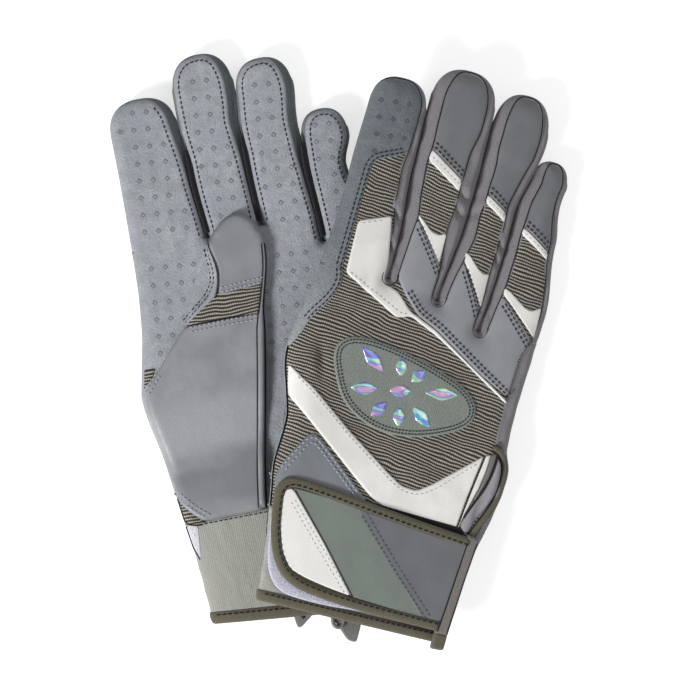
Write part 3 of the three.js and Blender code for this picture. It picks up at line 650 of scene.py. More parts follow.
class Finish:
    """A material under construction: a Principled shader fed by plan coordinates in millimetres."""

    def __init__(self, name, code, roughness, **constants):
        self.material = bpy.data.materials.new(name)
        self.material.use_nodes = True
        self.nodes = self.material.node_tree.nodes
        self.links = self.material.node_tree.links
        self.shader = self.nodes["Principled BSDF"]
        self.shader.inputs["Base Color"].default_value = linear(code)
        self.shader.inputs["Roughness"].default_value = roughness
        for socket, value in constants.items():
            self.shader.inputs[socket.replace("_", " ")].default_value = value
        uv = self.add("ShaderNodeUVMap")
        uv.uv_map = "plan"
        self.plan = self.math_vector("SCALE", uv.outputs["UV"], scale=100.0)

    def add(self, kind, **inputs):
        node = self.nodes.new(kind)
        for socket, value in inputs.items():
            self.feed(node.inputs[socket.replace("_", " ")], value)
        return node

    def feed(self, socket, value):
        if isinstance(value, bpy.types.NodeSocket):
            self.links.new(value, socket)
        else:
            socket.default_value = value

    def math_vector(self, operation, vector, other=None, scale=None):
        node = self.add("ShaderNodeVectorMath")
        node.operation = operation
        self.feed(node.inputs[0], vector)
        if other is not None:
            self.feed(node.inputs[1], other)
        if scale is not None:
            self.feed(node.inputs["Scale"], scale)
        return node.outputs[0]

    def math(self, operation, *values):
        node = self.add("ShaderNodeMath")
        node.operation = operation
        for socket, value in zip(node.inputs, values):
            self.feed(socket, value)
        return node.outputs[0]

    def axis(self, k):
        return self.add("ShaderNodeSeparateXYZ", Vector=self.plan).outputs[k]

    def pebble(self, size):
        """Soft cells of a size, as distances from their middles."""
        node = self.add("ShaderNodeTexVoronoi", Vector=self.stretched(size, size), Scale=1.0)
        node.feature = "SMOOTH_F1"
        return node.outputs["Distance"]

    def stretched(self, x, y):
        return self.math_vector("MULTIPLY", self.plan, (1 / x, 1 / y, 1.0))

    def noise(self, size, detail=2.0, along=None, roughness=0.5):
        """Noise between 0 and 1 with features of a size, or of a size across and a size along."""
        vector = self.stretched(size, along or size)
        node = self.add("ShaderNodeTexNoise", Vector=vector, Scale=1.0, Detail=detail, Roughness=roughness)
        return node.outputs["Fac"]

    def wave(self, pitch, direction, wobble=None):
        """Even ridges between 0 and 1, a pitch apart, across one axis of the plan."""
        place = self.axis(direction)
        if wobble is not None:
            place = self.math("ADD", place, wobble)
        turn = self.math("MULTIPLY", place, 2 * math.pi / pitch)
        return self.math("MULTIPLY_ADD", self.math("SINE", turn), 0.5, 0.5)

    def between(self, value, low, high, new_low=0.0, new_high=1.0):
        node = self.add("ShaderNodeMapRange")
        node.interpolation_type = "SMOOTHSTEP"
        for k, number in enumerate((value, low, high, new_low, new_high)):
            self.feed(node.inputs[k], number)
        return node.outputs["Result"]

    def mix(self, factor, first, second):
        node = self.add("ShaderNodeMix")
        node.data_type = "RGBA"
        self.feed(node.inputs["Factor"], factor)
        self.feed(node.inputs[6], linear(first) if isinstance(first, int) else first)
        self.feed(node.inputs[7], linear(second) if isinstance(second, int) else second)
        return node.outputs[2]

    def color(self, value):
        self.links.new(value, self.shader.inputs["Base Color"])

    def roughness(self, value):
        self.links.new(value, self.shader.inputs["Roughness"])

    def bump(self, height, depth):
        """depth is in millimetres for a height from 0 to 1."""
        node = self.add("ShaderNodeBump", Height=height, Strength=1.0, Distance=depth * METRE)
        previous = self.shader.inputs["Normal"]
        if previous.is_linked:
            self.links.new(previous.links[0].from_socket, node.inputs["Normal"])
        self.links.new(node.outputs["Normal"], previous)


def suede(name, light, dark, tint, low_tone=None):
    """Napped leather, optionally with another tone towards the wrist."""
    f = Finish(name, light, 0.9, Sheen_Weight=0.2, Sheen_Roughness=0.6, Specular_IOR_Level=0.25)
    blotch = f.noise(4.5, 5.0, roughness=0.65)
    nap = f.noise(0.8, 3.0)
    stroke = f.noise(0.9, 3.0, along=3.2)
    tone = f.mix(f.between(blotch, 0.28, 0.72, 0.4, 1.0), dark, light)
    tone = f.mix(f.between(f.noise(30.0, 2.0), 0.35, 0.65, 0.3, 0.0), tone, dark)
    tone = f.mix(f.between(f.noise(13.0, 3.0), 0.45, 0.7, 0.0, 0.6), tone, tint)
    if low_tone is not None:
        tone = f.mix(f.between(f.axis(1), *LOW_TONE_SPAN, 0.75, 0.0), tone, low_tone)
    f.color(f.mix(f.between(nap, 0.35, 0.75, 0.0, 0.6), tone, dark))
    f.bump(f.noise(7.0, 3.0), 0.5)
    f.bump(f.math("ADD", nap, f.math("MULTIPLY", stroke, 0.6)), 0.22)
    f.bump(f.pebble(0.8), 0.14)
    return f.material


def synthetic(name, light, dark, roughness=0.5, grain=0.05, sheen=0.0, bands=()):
    """Smooth coated leather, optionally with bands of painted shade and painted highlight across the hand."""
    f = Finish(name, light, roughness, Specular_IOR_Level=0.42, Sheen_Weight=sheen)
    cloud = f.mix(f.between(f.noise(16.0, 3.0), 0.3, 0.72, 0.35, 1.0), dark, light)
    if bands:
        level = f.math("ADD", f.axis(1), f.math("MULTIPLY", f.noise(14.0, 2.0), 5.0))
    # Each band mixes its tone in between its heights: painted shade where darker, painted highlight where
    # lighter
    for tone, start, full, ease, end in bands:
        band = f.math("MULTIPLY", f.between(level, start, full), f.between(level, ease, end, 1.0, 0.0))
        cloud = f.mix(band, cloud, tone)
    f.color(f.mix(f.between(f.noise(0.7, 3.0), 0.4, 0.75, 0.0, 0.4), cloud, dark))
    f.roughness(f.between(f.noise(3.0, 3.0), 0.3, 0.7, roughness - 0.06, roughness + 0.08))
    f.bump(f.noise(13.0, 2.0, along=22.0), 0.5)
    f.bump(f.pebble(0.55), grain)
    return f.material


def knit(name, light, dark, slope=0.0):
    """Ribbed knit whose ribs run across the hand, level or at a slope."""
    f = Finish(name, light, 0.92, Sheen_Weight=0.15, Specular_IOR_Level=0.2)
    sway = f.math("MULTIPLY", f.noise(24.0, 2.0, along=18.0), 5.0)
    sway = f.math("ADD", sway, f.math("MULTIPLY", f.noise(4.0, 1.0, along=9.0), 0.5))
    sway = f.math("ADD", sway, f.math("MULTIPLY", f.axis(0), slope))
    ribs = f.wave(RIB_PITCH, 1, sway)
    loops = f.wave(LOOP_PITCH, 0, f.math("MULTIPLY", ribs, 0.45))
    uneven = f.noise(2.2, 2.0, along=1.0)
    ridge = f.between(f.math("ADD", ribs, f.math("MULTIPLY", uneven, 0.4)), 0.5, 0.95)
    tone = f.mix(ridge, dark, light)
    tone = f.mix(f.between(loops, 0.1, 0.7, 0.5, 0.0), tone, dark)
    f.color(f.mix(f.between(f.noise(12.0, 3.0), 0.35, 0.7, 0.16, 0.0), tone, dark))
    f.bump(ribs, 0.5)
    f.bump(loops, 0.1)
    return f.material


def webbing(name, light, dark, pitch=1.1, depth=0.16):
    """Stretch or bound tape: fine wales along the strip with a crosswise grain."""
    f = Finish(name, light, 0.88, Sheen_Weight=0.2, Specular_IOR_Level=0.2)
    wales = f.wave(pitch, 0, f.math("MULTIPLY", f.noise(5.0, 1.0), 0.6))
    cross = f.wave(pitch * 0.7, 1)
    fleck = f.noise(0.5, 3.0)
    tone = f.mix(f.between(fleck, 0.35, 0.68, 0.45, 1.0), dark, light)
    f.color(f.mix(f.between(wales, 0.0, 0.6, 0.3, 0.0), tone, dark))
    f.bump(f.math("MULTIPLY", wales, cross), depth)
    f.bump(f.noise(4.0, 2.0, along=9.0), 0.5)
    return f.material


def pile(name, light, dark):
    f = Finish(name, light, 0.97, Sheen_Weight=0.4, Sheen_Roughness=0.7, Specular_IOR_Level=0.1)
    fuzz = f.noise(0.9, 4.0, roughness=0.75)
    f.color(f.mix(f.between(fuzz, 0.38, 0.62), dark, light))
    f.bump(fuzz, 0.7)
    return f.material


def hooks(name, light, dark):
    f = Finish(name, light, 0.6, Specular_IOR_Level=0.4)
    grid = f.math("MULTIPLY", f.wave(1.3, 0), f.wave(1.3, 1))
    f.color(f.mix(f.between(grid, 0.2, 0.7), dark, light))
    f.bump(grid, 0.5)
    return f.material


def thread(name, light, dark):
    f = Finish(name, light, 0.65, Specular_IOR_Level=0.35)
    twist = f.add("ShaderNodeTexWave", Vector=f.stretched(0.35, 0.35), Scale=0.8, Distortion=1.5)
    twist.bands_direction = "DIAGONAL"
    f.color(f.mix(f.between(twist.outputs["Fac"], 0.1, 0.7), dark, light))
    f.bump(twist.outputs["Fac"], 0.05)
    return f.material


def film(name):
    """Iridescent film: pale bands of several hues that run along the shapes, under a clear gloss."""
    f = Finish(name, 0xdfe8f0, 0.16, Metallic=0.35, Coat_Weight=0.7, Coat_Roughness=0.06)
    sweep = f.between(f.noise(14.0, 1.0, along=5.0), 0.3, 0.7)
    ramp = f.add("ShaderNodeValToRGB", Fac=sweep)
    stops = ((0.1, 0x9385e4), (0.26, 0x5cd0ee), (0.4, 0xecf7f6), (0.48, 0x7be2b6), (0.56, 0xeff0b4),
             (0.66, 0x6cd9f0), (0.8, 0xa490ea), (0.93, 0xeabfe0))
    elements = ramp.color_ramp.elements
    while len(elements) < len(stops):
        elements.new(0.5)
    for element, (place, code) in zip(elements, stops):
        element.position, element.color = place, linear(code)
    f.color(ramp.outputs["Color"])
    f.bump(f.noise(6.0, 2.0), 0.25)
    return f.material


MATERIALS = {
    "suede": suede("napped_suede", 0xb4b8bc, 0x858a90, 0xa5a3b2),
    "suede_back": suede("dark_napped_suede", 0x82898c, 0x5c6266, 0x707480, 0xb2b6ba),
    "suede_dots": synthetic("grip_print", 0x82868d, 0x73777e, 0.6, 0.03),
    "dots_back": synthetic("dark_grip_print", 0x5e656a, 0x50575c, 0.5, 0.03),
    "synthetic": synthetic("smooth_synthetic", 0x7d7e82, 0x6e6f73, 0.5),
    "band": synthetic("band_synthetic", 0x9c9da2, 0x8a8b90, 0.5),
    "thumb_cap": synthetic("thumb_synthetic", 0x8f9196, 0x7f8186, 0.52),
    "panel": synthetic("sheen_panel", 0x9a9ca0, 0x7e8084, 0.48, 0.04),
    # The thumb's base panel, with painted shade and painted highlight in bands across its hollow
    "thumb_base": synthetic("thumb_base_panel", 0x9a9ca0, 0x7e8084, 0.48, 0.04, bands=THUMB_SHADE_BANDS),
    "side_panel": synthetic("side_synthetic", 0x84878c, 0x717479, 0.44, 0.04),
    "white": synthetic("white_synthetic", 0xf4f3ef, 0xe4e2dd, 0.55, 0.05),
    "strap_white": synthetic("bright_white_synthetic", 0xfcfbf8, 0xf0eeea, 0.55, 0.05),
    "knit": knit("ribbed_knit", 0xc9c3b8, 0x3b3631),
    "knit_back": knit("slanting_knit", 0xc9c3b8, 0x3b3631, slope=0.12),
    "stretch": webbing("stretch_fabric", 0x949195, 0x6f6c70, 0.7, 0.1),
    # A darker, cooler copy of the stretch fabric for the left glove's walls: painted shade for the deep gaps
    # between its fingers
    "stretch_shaded": webbing("shaded_stretch_fabric", 0x81888a, 0x5e6466, 0.7, 0.1),
    "fold": webbing("mauve_stretch", 0xa5a2a8, 0x828086, 0.8, 0.08),
    "binding": webbing("olive_binding", 0x747060, 0x4e4a3e, 0.8, 0.14),
    "tape": webbing("end_tape", 0x8f8b87, 0x66635f, 0.8, 0.14),
    "tab": webbing("tab_ribbon", 0x8e8e8c, 0x696968, 0.7, 0.12),
    "elastic": webbing("elastic_webbing", 0xb6b6af, 0x93938c, 0.9, 0.14),
    "strap_green": synthetic("strap_green_grey", 0x828b84, 0x787f79, 0.52, 0.03),
    "strap_grey": synthetic("strap_dark_grey", 0x76787c, 0x6a6c70, 0.5, 0.03),
    "backing": webbing("emblem_backing", 0x9ba19b, 0x757b75, 0.7, 0.18),
    "loop": pile("loop_pile", 0xe8e6f4, 0xc0bed4),
    "loop_pale": pile("pale_loop_pile", 0xf0eff4, 0xd2d0dc),
    "hook": hooks("hook_tape", 0xdcdce4, 0xa8a8b4),
    "thread_dark": thread("dark_thread", 0x2e323f, 0x1b1e28),
    "thread_black": thread("black_thread", 0x26241f, 0x131210),
    "thread_light": thread("light_thread", 0xbac0ca, 0x888e9a),
    "thread_mid": thread("grey_thread", 0x747985, 0x474c58),
    "thread_pale": thread("pale_thread", 0xe6e4df, 0xcfccc5),
    "thread_white": thread("white_thread", 0xe6e4de, 0xc8c5bd),
    # Black cord for dark seam lines, also laid as painted shadow in the gaps between the fingers, above the
    # strap, in the slit and beside the thumb's fold
    "piping_and_painted_shadow": webbing("black_piping", 0x232327, 0x111114, 0.6, 0.08),
    "film": film("iridescent_film"),
    "snap": synthetic("dark_snap", 0x2c2b2e, 0x201f22, 0.35, 0.02),
}


# Gloves in place
def glove_pair():
    """Both gloves with their matrices. The pair's middle comes from the thumb's hinge in the frame."""
    spin = Matrix.Rotation(LEFT_SPIN, 4, "Z")
    flipped = Matrix.Diagonal((1, 1, -1, 1))
    hinge = next(joint for joint in frame["joints"] if joint["name"] == "left_thumb_unfold")
    shift = Vector(hinge["pos_m"]) / METRE - (LEFT_PLACE + spin @ flipped @ THUMB_HINGE)
    metres = Matrix.Diagonal((METRE, METRE, METRE, 1))
    pitch, roll, yaw = RIGHT_TURN
    turn = Matrix.Rotation(yaw, 4, "Z") @ Matrix.Rotation(roll, 4, "Y") @ Matrix.Rotation(pitch, 4, "X")
    right = metres @ Matrix.Translation(shift + RIGHT_PLACE) @ turn
    left = metres @ Matrix.Translation(shift + LEFT_PLACE) @ spin @ flipped
    return Glove(RIGHT, right, "right_hand"), Glove(LEFT, left, "left_hand"), shift


def attach(glove, obj, part, nodes):
    """Attaches a piece to its strap, thumb or hand body, leaves a finger's piece fixed in the row frame, and
    hides the solids that it stands for.
    """
    side = glove.side
    if part in FINGERS:
        i = FINGERS.index(part)
        x = float(glove.finger_left(i, glove.joint_y[i]) + glove.joint[i] / 2)
        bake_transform(obj)
    elif part == "strap":
        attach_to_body(obj, f"{side}_strap")
    elif part == "thumb" and side == "left":
        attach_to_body(obj, "left_thumb")
    else:
        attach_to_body(obj, glove.hand)
    if nodes:
        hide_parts(*[f"{side}_{node}" for node in nodes])


# Pinched creases in the walls between the fingers: finger, side and height
CREASES = ((0, 1, 176), (0, 1, 162), (1, 1, 191), (1, 1, 184), (2, 1, 174), (2, 1, 168), (2, 0, 186))
SIDE_SWELL = 0.44
# A wall between two fingers is folded into a ridge on the back and sinks below the leather's rim on the palm
RIDGE_HEIGHT = (0.5, 1.7)
RIDGE_PLACE = 0.34
RIDGE_WIDTH = 0.2
PALM_VALLEY = 3.6
# Painted shadow: a black cord laid deep between the fingers on the palm, where the gap is in shade
GAP_SHADE = 1.0
GAP_SHADE_BELOW_TIP = (20.0, 26.0, 6.0)
SLANT = -0.6
LOBES = ((-22, -40), (-25, -44), (-26, -42))
# Upper edges of the white wedges: share of the finger's width, and height over the lobe's left end
WEDGE_TOPS = (((0, 1.8), (0.26, -1), (0.5, -4.1), (0.77, -4.8), (1, -2.9)),
              ((0, 4.4), (0.17, 3.2), (0.48, -1), (0.73, -3.1), (0.89, -3.2), (1, -2.2)),
              ((0, 3.6), (0.16, 2.3), (0.39, -0.6), (0.62, -3.3), (0.78, -3.7), (1, -0.6)))
# For each finger, how high its white stripe's lower and upper edges stand over the knuckle
STRIPES = {1: (-1.6, 3.4), 2: (-1.4, 2.5), 3: (-2.7, 0.6)}
HEM_ROWS = (1.4, 3.5)
WHITE_ROW = {"length": 1.4, "radius": 0.24}
# White rows of stitches on the trims: points, corner and lift
WHITE_ROWS = (([(-36.8, 169.8), (-27.8, 173.4)], 2, 0.95),
              ([(-36.6, 148.6), (-10, 136.3), (-7.5, 137.2)], 2, 0.95),
              ([(-48, 100), (-40, 94.8), (-20, 80.2), (0, 67.3), (7.5, 63), (15, 62.4), (21.5, 66.4),
                (37.5, 81.8)], 4, 1.0))
SIDE_ROW = [(-44.4, 60), (-42, 65.4), (-36.4, 75.4), (-34.2, 75.6), (-29.6, 72.2), (-11, 57.2)]
BAND_ROW = [(-11, 145.5), (-3.4, 138), (6.7, 133.6), (20, 125.6), (30, 119.6), (44, 111.6)]
BAND_LOWER = [(30, 119.4), (20, 125.4), (6.7, 133.4), (-3, 137.6), (-10.5, 145)]
OUTER_STRIP = (6.2, 126, 150)


def web_points(glove):
    """The cut lines' ends: for each finger, where its left and right sides begin."""
    ends = []
    for i in range(4):
        low_left, low_right = glove.web_heights(i)
        ends.append((np.array([float(glove.finger_left(i, low_left)), low_left]),
                     np.array([float(glove.finger_right(i, low_right)), low_right])))
    return ends


def cut_line(glove, i):
    start, end = web_points(glove)[i]
    return spaced([start, end], MESH_STEP)


def hand_outline(glove, left_inset, right_inset):
    """Plan of the hand from the cuff up to the cut lines, with its sides stood in by distances."""
    ends = web_points(glove)
    up = np.append(np.arange(CUFF_TOP, ends[0][0][1] - 0.5, 1.6), ends[0][0][1])
    left = np.c_[glove.hand_left(up) + left_inset, up]
    down = np.append(np.arange(ends[3][1][1], CUFF_TOP + 0.5, -1.6), CUFF_TOP)
    right = np.c_[glove.hand_right(down) - right_inset(down), down]
    first = spaced([left[-1], cut_line(glove, 0)[-1]], MESH_STEP)[1:]
    last = spaced([cut_line(glove, 3)[0], right[0]], MESH_STEP)[:-1]
    return np.vstack([left, first, cut_line(glove, 1), cut_line(glove, 2), last, right])


def hand_cuts(glove):
    """The lines where the hand's sheets meet the fingers' and the cuff, which aren't rounded."""
    return [cut_line(glove, i) for i in range(4)] + [np.array([[-70.0, CUFF_TOP], [70.0, CUFF_TOP]])]


def finger_outline(glove, i, seam, low=None):
    """Plan of a finger inside a seam, from its cut line or from given heights at its two sides."""
    if low is None:
        low = glove.web_heights(i)
        across = [float(glove.inset(i, side, low[side], seam) / glove.width(i, low[side]))
                  for side in range(2)]
        low = lerp(low[0], low[1], across[0]), lerp(low[1], low[0], across[1])
    low_left, low_right = low
    points, ways, room = glove.round_finger(i, low_left, low_right, seam)
    outline = points + ways * room[:, None]
    close = spaced([outline[-1], outline[0]], MESH_STEP)[1:-1]
    return np.vstack([outline, close])


def slanted(glove, i, rise):
    """Heights at a finger's two seams of a slanted line that crosses its middle at rise above the knuckle."""
    y = glove.joint_y[i] + rise
    left, right = glove.seam_left(i, y), glove.seam_right(i, y)
    half = float(right - left) / 2
    return y - SLANT * half, y + SLANT * half


def slanted_line(glove, i, rise, margin=0.0):
    left_y, right_y = slanted(glove, i, rise)
    return np.array([[float(glove.seam_left(i, left_y)) + margin, left_y + SLANT * margin],
                     [float(glove.seam_right(i, right_y)) - margin, right_y - SLANT * margin]])


def slanted_band(glove, i, low, high):
    """Outline of a strip across a finger between two slanted lines."""
    below, above = slanted_line(glove, i, low), slanted_line(glove, i, high)
    up = np.linspace(below[1][1], above[1][1], 4)
    down = np.linspace(above[0][1], below[0][1], 4)
    right = np.c_[glove.seam_right(i, up), up]
    left = np.c_[glove.seam_left(i, down), down]
    return spaced(np.vstack([below[:1], right, left[:-1]]), 1.4, True)


def outer_inset(y):
    full, low, high = OUTER_STRIP
    return lerp(full, SEAM_AT_WEB["cap"], smoothstep(y, low, high))


def back_base(glove):
    """Ribbed knit under the whole back, and the knit on each finger up to its cap."""
    how = {"lift": 0.0, "drop": 0.7}
    outline = hand_outline(glove, 0.7, lambda y: outer_inset(y) - 0.8)
    glove.panel("back_knit_fabric", outline, glove.top, "knit_back", nodes=["back_knit"],
                flat=hand_cuts(glove), **how)
    for i, finger in enumerate(FINGERS):
        low_left, low_right = glove.web_heights(i)
        left_y, right_y = slanted(glove, i, 4.0)
        right_y, margin = (right_y + 8.0, 0.7) if i == 0 else (right_y, -0.5)
        up, down = np.linspace(low_left, left_y, 30), np.linspace(right_y, low_right, 30)
        left = np.c_[glove.seam_left(i, up) + margin, up]
        right = np.c_[glove.seam_right(i, down) + 0.5, down]
        glove.panel(f"{finger}_knit", spaced(np.vstack([left, right]), 1.7, True), glove.top, "knit_back",
                    part=finger, flat=[np.vstack([right[-1:], left[:1]])], **how)


def caps(glove):
    """The smooth caps over the fingertips, their white stripes and their hems' double stitches."""
    index_cap(glove)
    for i, finger in enumerate(FINGERS[1:], 1):
        low, high = STRIPES[i]
        cover = finger_outline(glove, i, "cap", slanted(glove, i, high + 0.1))
        glove.panel(f"{finger}_cap_cover", cover, glove.top, "synthetic", part=finger,
                    nodes=[f"{finger}_cap"], lift=0.7, drop=0.6)
        glove.panel(f"{finger}_white_stripe", slanted_band(glove, i, low, high), glove.top, "white",
                    part=finger, lift=0.6, drop=0.4, edge=0.6, step=1.3)
        pale = row(slanted_line(glove, i, (low + high) / 2 - 0.2, 0.8), glove.top, lift=0.66, length=1.3,
                   radius=0.2)
        stitches(glove, f"{finger}_stripe_stitches", [pale], "thread_pale", "white_synthetic", finger)
        rows = [row(slanted_line(glove, i, high + rise, 0.4), glove.top, lift=0.82) for rise in HEM_ROWS]
        stitches(glove, f"{finger}_cap_stitches", rows, "thread_dark", "synthetic", finger)


def index_cap(glove):
    """The index finger's napped cap, one piece with the strip of leather along the finger's side."""
    low_left = glove.webs[0]
    y = glove.joint_y[0]
    points, ways, room = glove.round_finger(0, low_left, y + 5.0)
    edge = points + ways * room[:, None]
    left, width = float(glove.hand_left(y)), float(glove.width(0, y))
    seam = [(left + width * 0.72, y + 3.2), (left + width * 0.49, y + 0.6), (left + width * 0.35, y - 1.0),
            (left + 7.6, y - 4.0), (left + 7.4, y - 10)]
    foot = np.array([[float(glove.hand_left(low_left)) + 8.6, low_left]])
    seam = rounded(np.vstack([edge[-1:], seam, foot]), 4.0, 1.4, closed=False)
    outline = np.vstack([edge, seam[1:], spaced([foot[0], edge[0]], MESH_STEP)[1:-1]])
    flat = [edge[:np.argmax(edge[:, 1]) - 4], np.vstack([foot, edge[:1]])]
    glove.panel("index_cap_cover", outline, glove.top, "suede_back", part="index", nodes=["index_cap"],
                lift=0.75, flat=flat)
    rows = double(shifted(seam[1:], -1.9), glove.top, 1.7, lift=0.82)
    stitches(glove, "index_cap_stitches", rows, "thread_dark", "suede", "index")
    grip_dots(glove, "index_cap_prints", outline, glove.top, 1, 0.8, 3.4, "index", "dots_back")


def knuckle_band(glove):
    """Outline of the smooth band over the knuckles, with a lobe on three fingers."""
    ends = web_points(glove)
    points = []
    for i, (rise_left, rise_right) in zip((1, 2, 3), LOBES):
        low_left, low_right = glove.web_heights(i)
        high_left, high_right = glove.joint_y[i] + rise_left, glove.joint_y[i] + rise_right
        points += [(float(glove.seam_left(i, y)), y) for y in np.linspace(low_left + 1.5, high_left, 5)]
        points.append((float(glove.seam_right(i, high_right)), high_right))
        if i < 3:
            points.append((float(glove.seam_right(i, low_right + 1.5)), low_right + 1.5))
            points.append(tuple(ends[i][1] + (0.45, -3.0)))
    points += [(float(glove.hand_right(y)) - 6.3, y) for y in (131, 112.8)]
    return rounded(np.vstack([points, glove.on_hand(BAND_LOWER, RIGHT_GLOVE)]), 2.2, 1.4)


def white_wedges(glove):
    """White wedges on three fingers between the band's lobes and the knit, each with a hollow upper edge."""
    for i, (rise_left, rise_right), tops in zip((1, 2, 3), LOBES, WEDGE_TOPS):
        start, end = glove.joint_y[i] + rise_left, glove.joint_y[i] + rise_right
        left, right = float(glove.seam_left(i, start)), float(glove.seam_right(i, end + 10))
        corners = [(lerp(left, right, share), start + rise) for share, rise in reversed(tops)]
        corners += [(left, start + 0.6), (lerp(left, right, 0.5), lerp(start, end, 0.5) + 0.6),
                    (right, end + 0.6)]
        glove.panel(f"{FINGERS[i]}_white_wedge", rounded(corners, 2.4, 1.0), glove.top, "white", lift=0.62,
                    drop=0.4, edge=0.6, step=1.4)


def overlays(glove):
    """The trims sewn on the back of the hand, with their stitches."""
    glove.panel("knuckle_band_cover", knuckle_band(glove), glove.top, "band", nodes=["knuckle_band"],
                lift=0.95, drop=0.3)
    glove.trim("index_patch", INDEX_PATCH, 2.0, 1.3, "white", nodes=["index_trim"], lift=0.85, edge=0.7,
               step=1.5)
    glove.trim("v_trim_panel", V_TRIM, 2.0, 1.4, "white", V_TRIM_MARGIN, nodes=["v_trim"], lift=0.9, edge=0.8)
    glove.trim("v_trim_tail", V_TAIL, 0.8, 1.2, "white", lift=0.95, edge=0.6, step=1.3)
    line = resampled(glove.on_hand(V_LINE, RIGHT_GLOVE), 1.6)
    glove.tube("v_trim_line", line, glove.top, 0.25, slot="white_synthetic", lift=0.85, sides=6)
    glove.trim("side_panel_cover", SIDE_PANEL, 3.0, 1.4, "side_panel", nodes=["side_panel"], lift=0.85)
    dark = double(shifted(resampled(glove.on_hand(BAND_ROW, RIGHT_GLOVE), 2.0), 2.2), glove.top, 1.7,
                  lift=1.05)
    for i, (rise_left, rise_right) in zip((1, 2, 3), LOBES):
        start, end = glove.joint_y[i] + rise_left, glove.joint_y[i] + rise_right
        line = np.array([(float(glove.seam_left(i, start)) + 0.9, start - 3.6),
                         (float(glove.seam_right(i, end)) - 0.6, end - 3.2)])
        dark += double(line, glove.top, 1.7, lift=1.05)
    white = [row(glove.from_right(points, corner, 1.5, False), glove.top, lift=lift, **WHITE_ROW)
             for points, corner, lift in WHITE_ROWS]
    light = double(glove.from_right(SIDE_ROW, 3, 1.5, False), glove.top, 1.9, lift=1.02, radius=0.4)
    for tone, rows in (("dark", dark), ("white", white), ("light", light)):
        stitches(glove, f"{tone}_trim_stitches", rows, f"thread_{tone}", "synthetic")


PETALS = 8
PETAL_TURN = 0.16
PETAL_PLACE = 0.58
PETAL_HALF_LENGTH = 0.26
PETAL_HALF_WIDTH = 3.3
MIDDLE_HALF_LENGTH = 5.6


def emblem(glove):
    """A stitched backing patch with a rosette of iridescent lozenges."""
    glove.trim("emblem_backing", EMBLEM, 8.0, 1.3, "backing", nodes=["emblem_patch"], lift=0.75, edge=0.8)
    outline = glove.from_right(EMBLEM, 8.0, 1.3)
    line = counterclockwise(outline)
    rows = []
    for inset in (1.3, 2.7):
        ring = line + inward(line, True) * inset
        rows.append(row(np.vstack([ring, ring[:1]]), glove.top, lift=0.85, pitch=1.5, length=1.25,
                        radius=0.26))
    stitches(glove, "emblem_stitches", rows, "thread_dark", "backing")
    centre = outline.mean(0)
    bearings = np.arctan2(*(outline - centre).T[::-1])
    for k in range(PETALS + 1):
        turn = 2 * math.pi * k / PETALS + PETAL_TURN
        rim = outline[np.argmin(np.abs(np.angle(np.exp(1j * (bearings - turn)))))] - centre
        reach = np.linalg.norm(rim)
        way = rim / reach
        middle, long = centre + rim * PETAL_PLACE, reach * PETAL_HALF_LENGTH
        if k == PETALS:
            middle, long = centre, MIDDLE_HALF_LENGTH
        side = np.array([-way[1], way[0]]) * PETAL_HALF_WIDTH
        lozenge = rounded([middle + way * long, middle + side, middle - way * long, middle - side], 2.2, 0.8)
        glove.panel(f"emblem_lozenge_{k + 1}", lozenge, glove.top, "film", lift=1.35, drop=-0.5, edge=1.9,
                    step=1.0)


# Radii and rises of the rings of points in a printed grip dot
DOT_RINGS = ((1.45, -0.2), (1.2, 0.1), (0.8, 0.1), (0.5, -0.05))
DOT_SIDES = 8


def grip_dots(glove, name, outline, height, up, lift, margin, part=None, ink="suede_dots"):
    """Small printed lozenge rings in rows, turned a little to the glove, inside an outline."""
    turn = DOT_TURN if glove.side == "right" else -DOT_TURN
    steps = np.arange(-40, 41)
    start = outline.mean(0)
    cos, sin = math.cos(turn), math.sin(turn)
    centres = np.array([start + (u * cos - v * sin, u * sin + v * cos)
                        for v in DOT_PITCH[1] * steps for u in DOT_PITCH[0] * steps])
    centres = centres[inside(centres, outline)]
    centres = centres[distance(centres, outline, True) > margin]
    angle = 2 * np.pi * np.arange(DOT_SIDES) / DOT_SIDES
    shape = np.where(np.arange(DOT_SIDES) % 2 == 0, 1.0, 0.74)
    count = len(DOT_RINGS)
    top = tuple(range((count - 1) * DOT_SIDES, count * DOT_SIDES))
    points, faces = [], []
    for n, centre in enumerate(centres):
        for radius, rise in DOT_RINGS:
            plan = centre + np.c_[np.cos(angle), np.sin(angle)] * (radius * shape)[:, None]
            points.append(np.c_[plan, height(plan) + up * (lift + rise)])
        first = n * count * DOT_SIDES
        faces += [tuple(first + v for v in face) for face in ring_faces(count, DOT_SIDES) + [top]]
    glove.place(name, np.vstack(points), faces, ink, part=part)


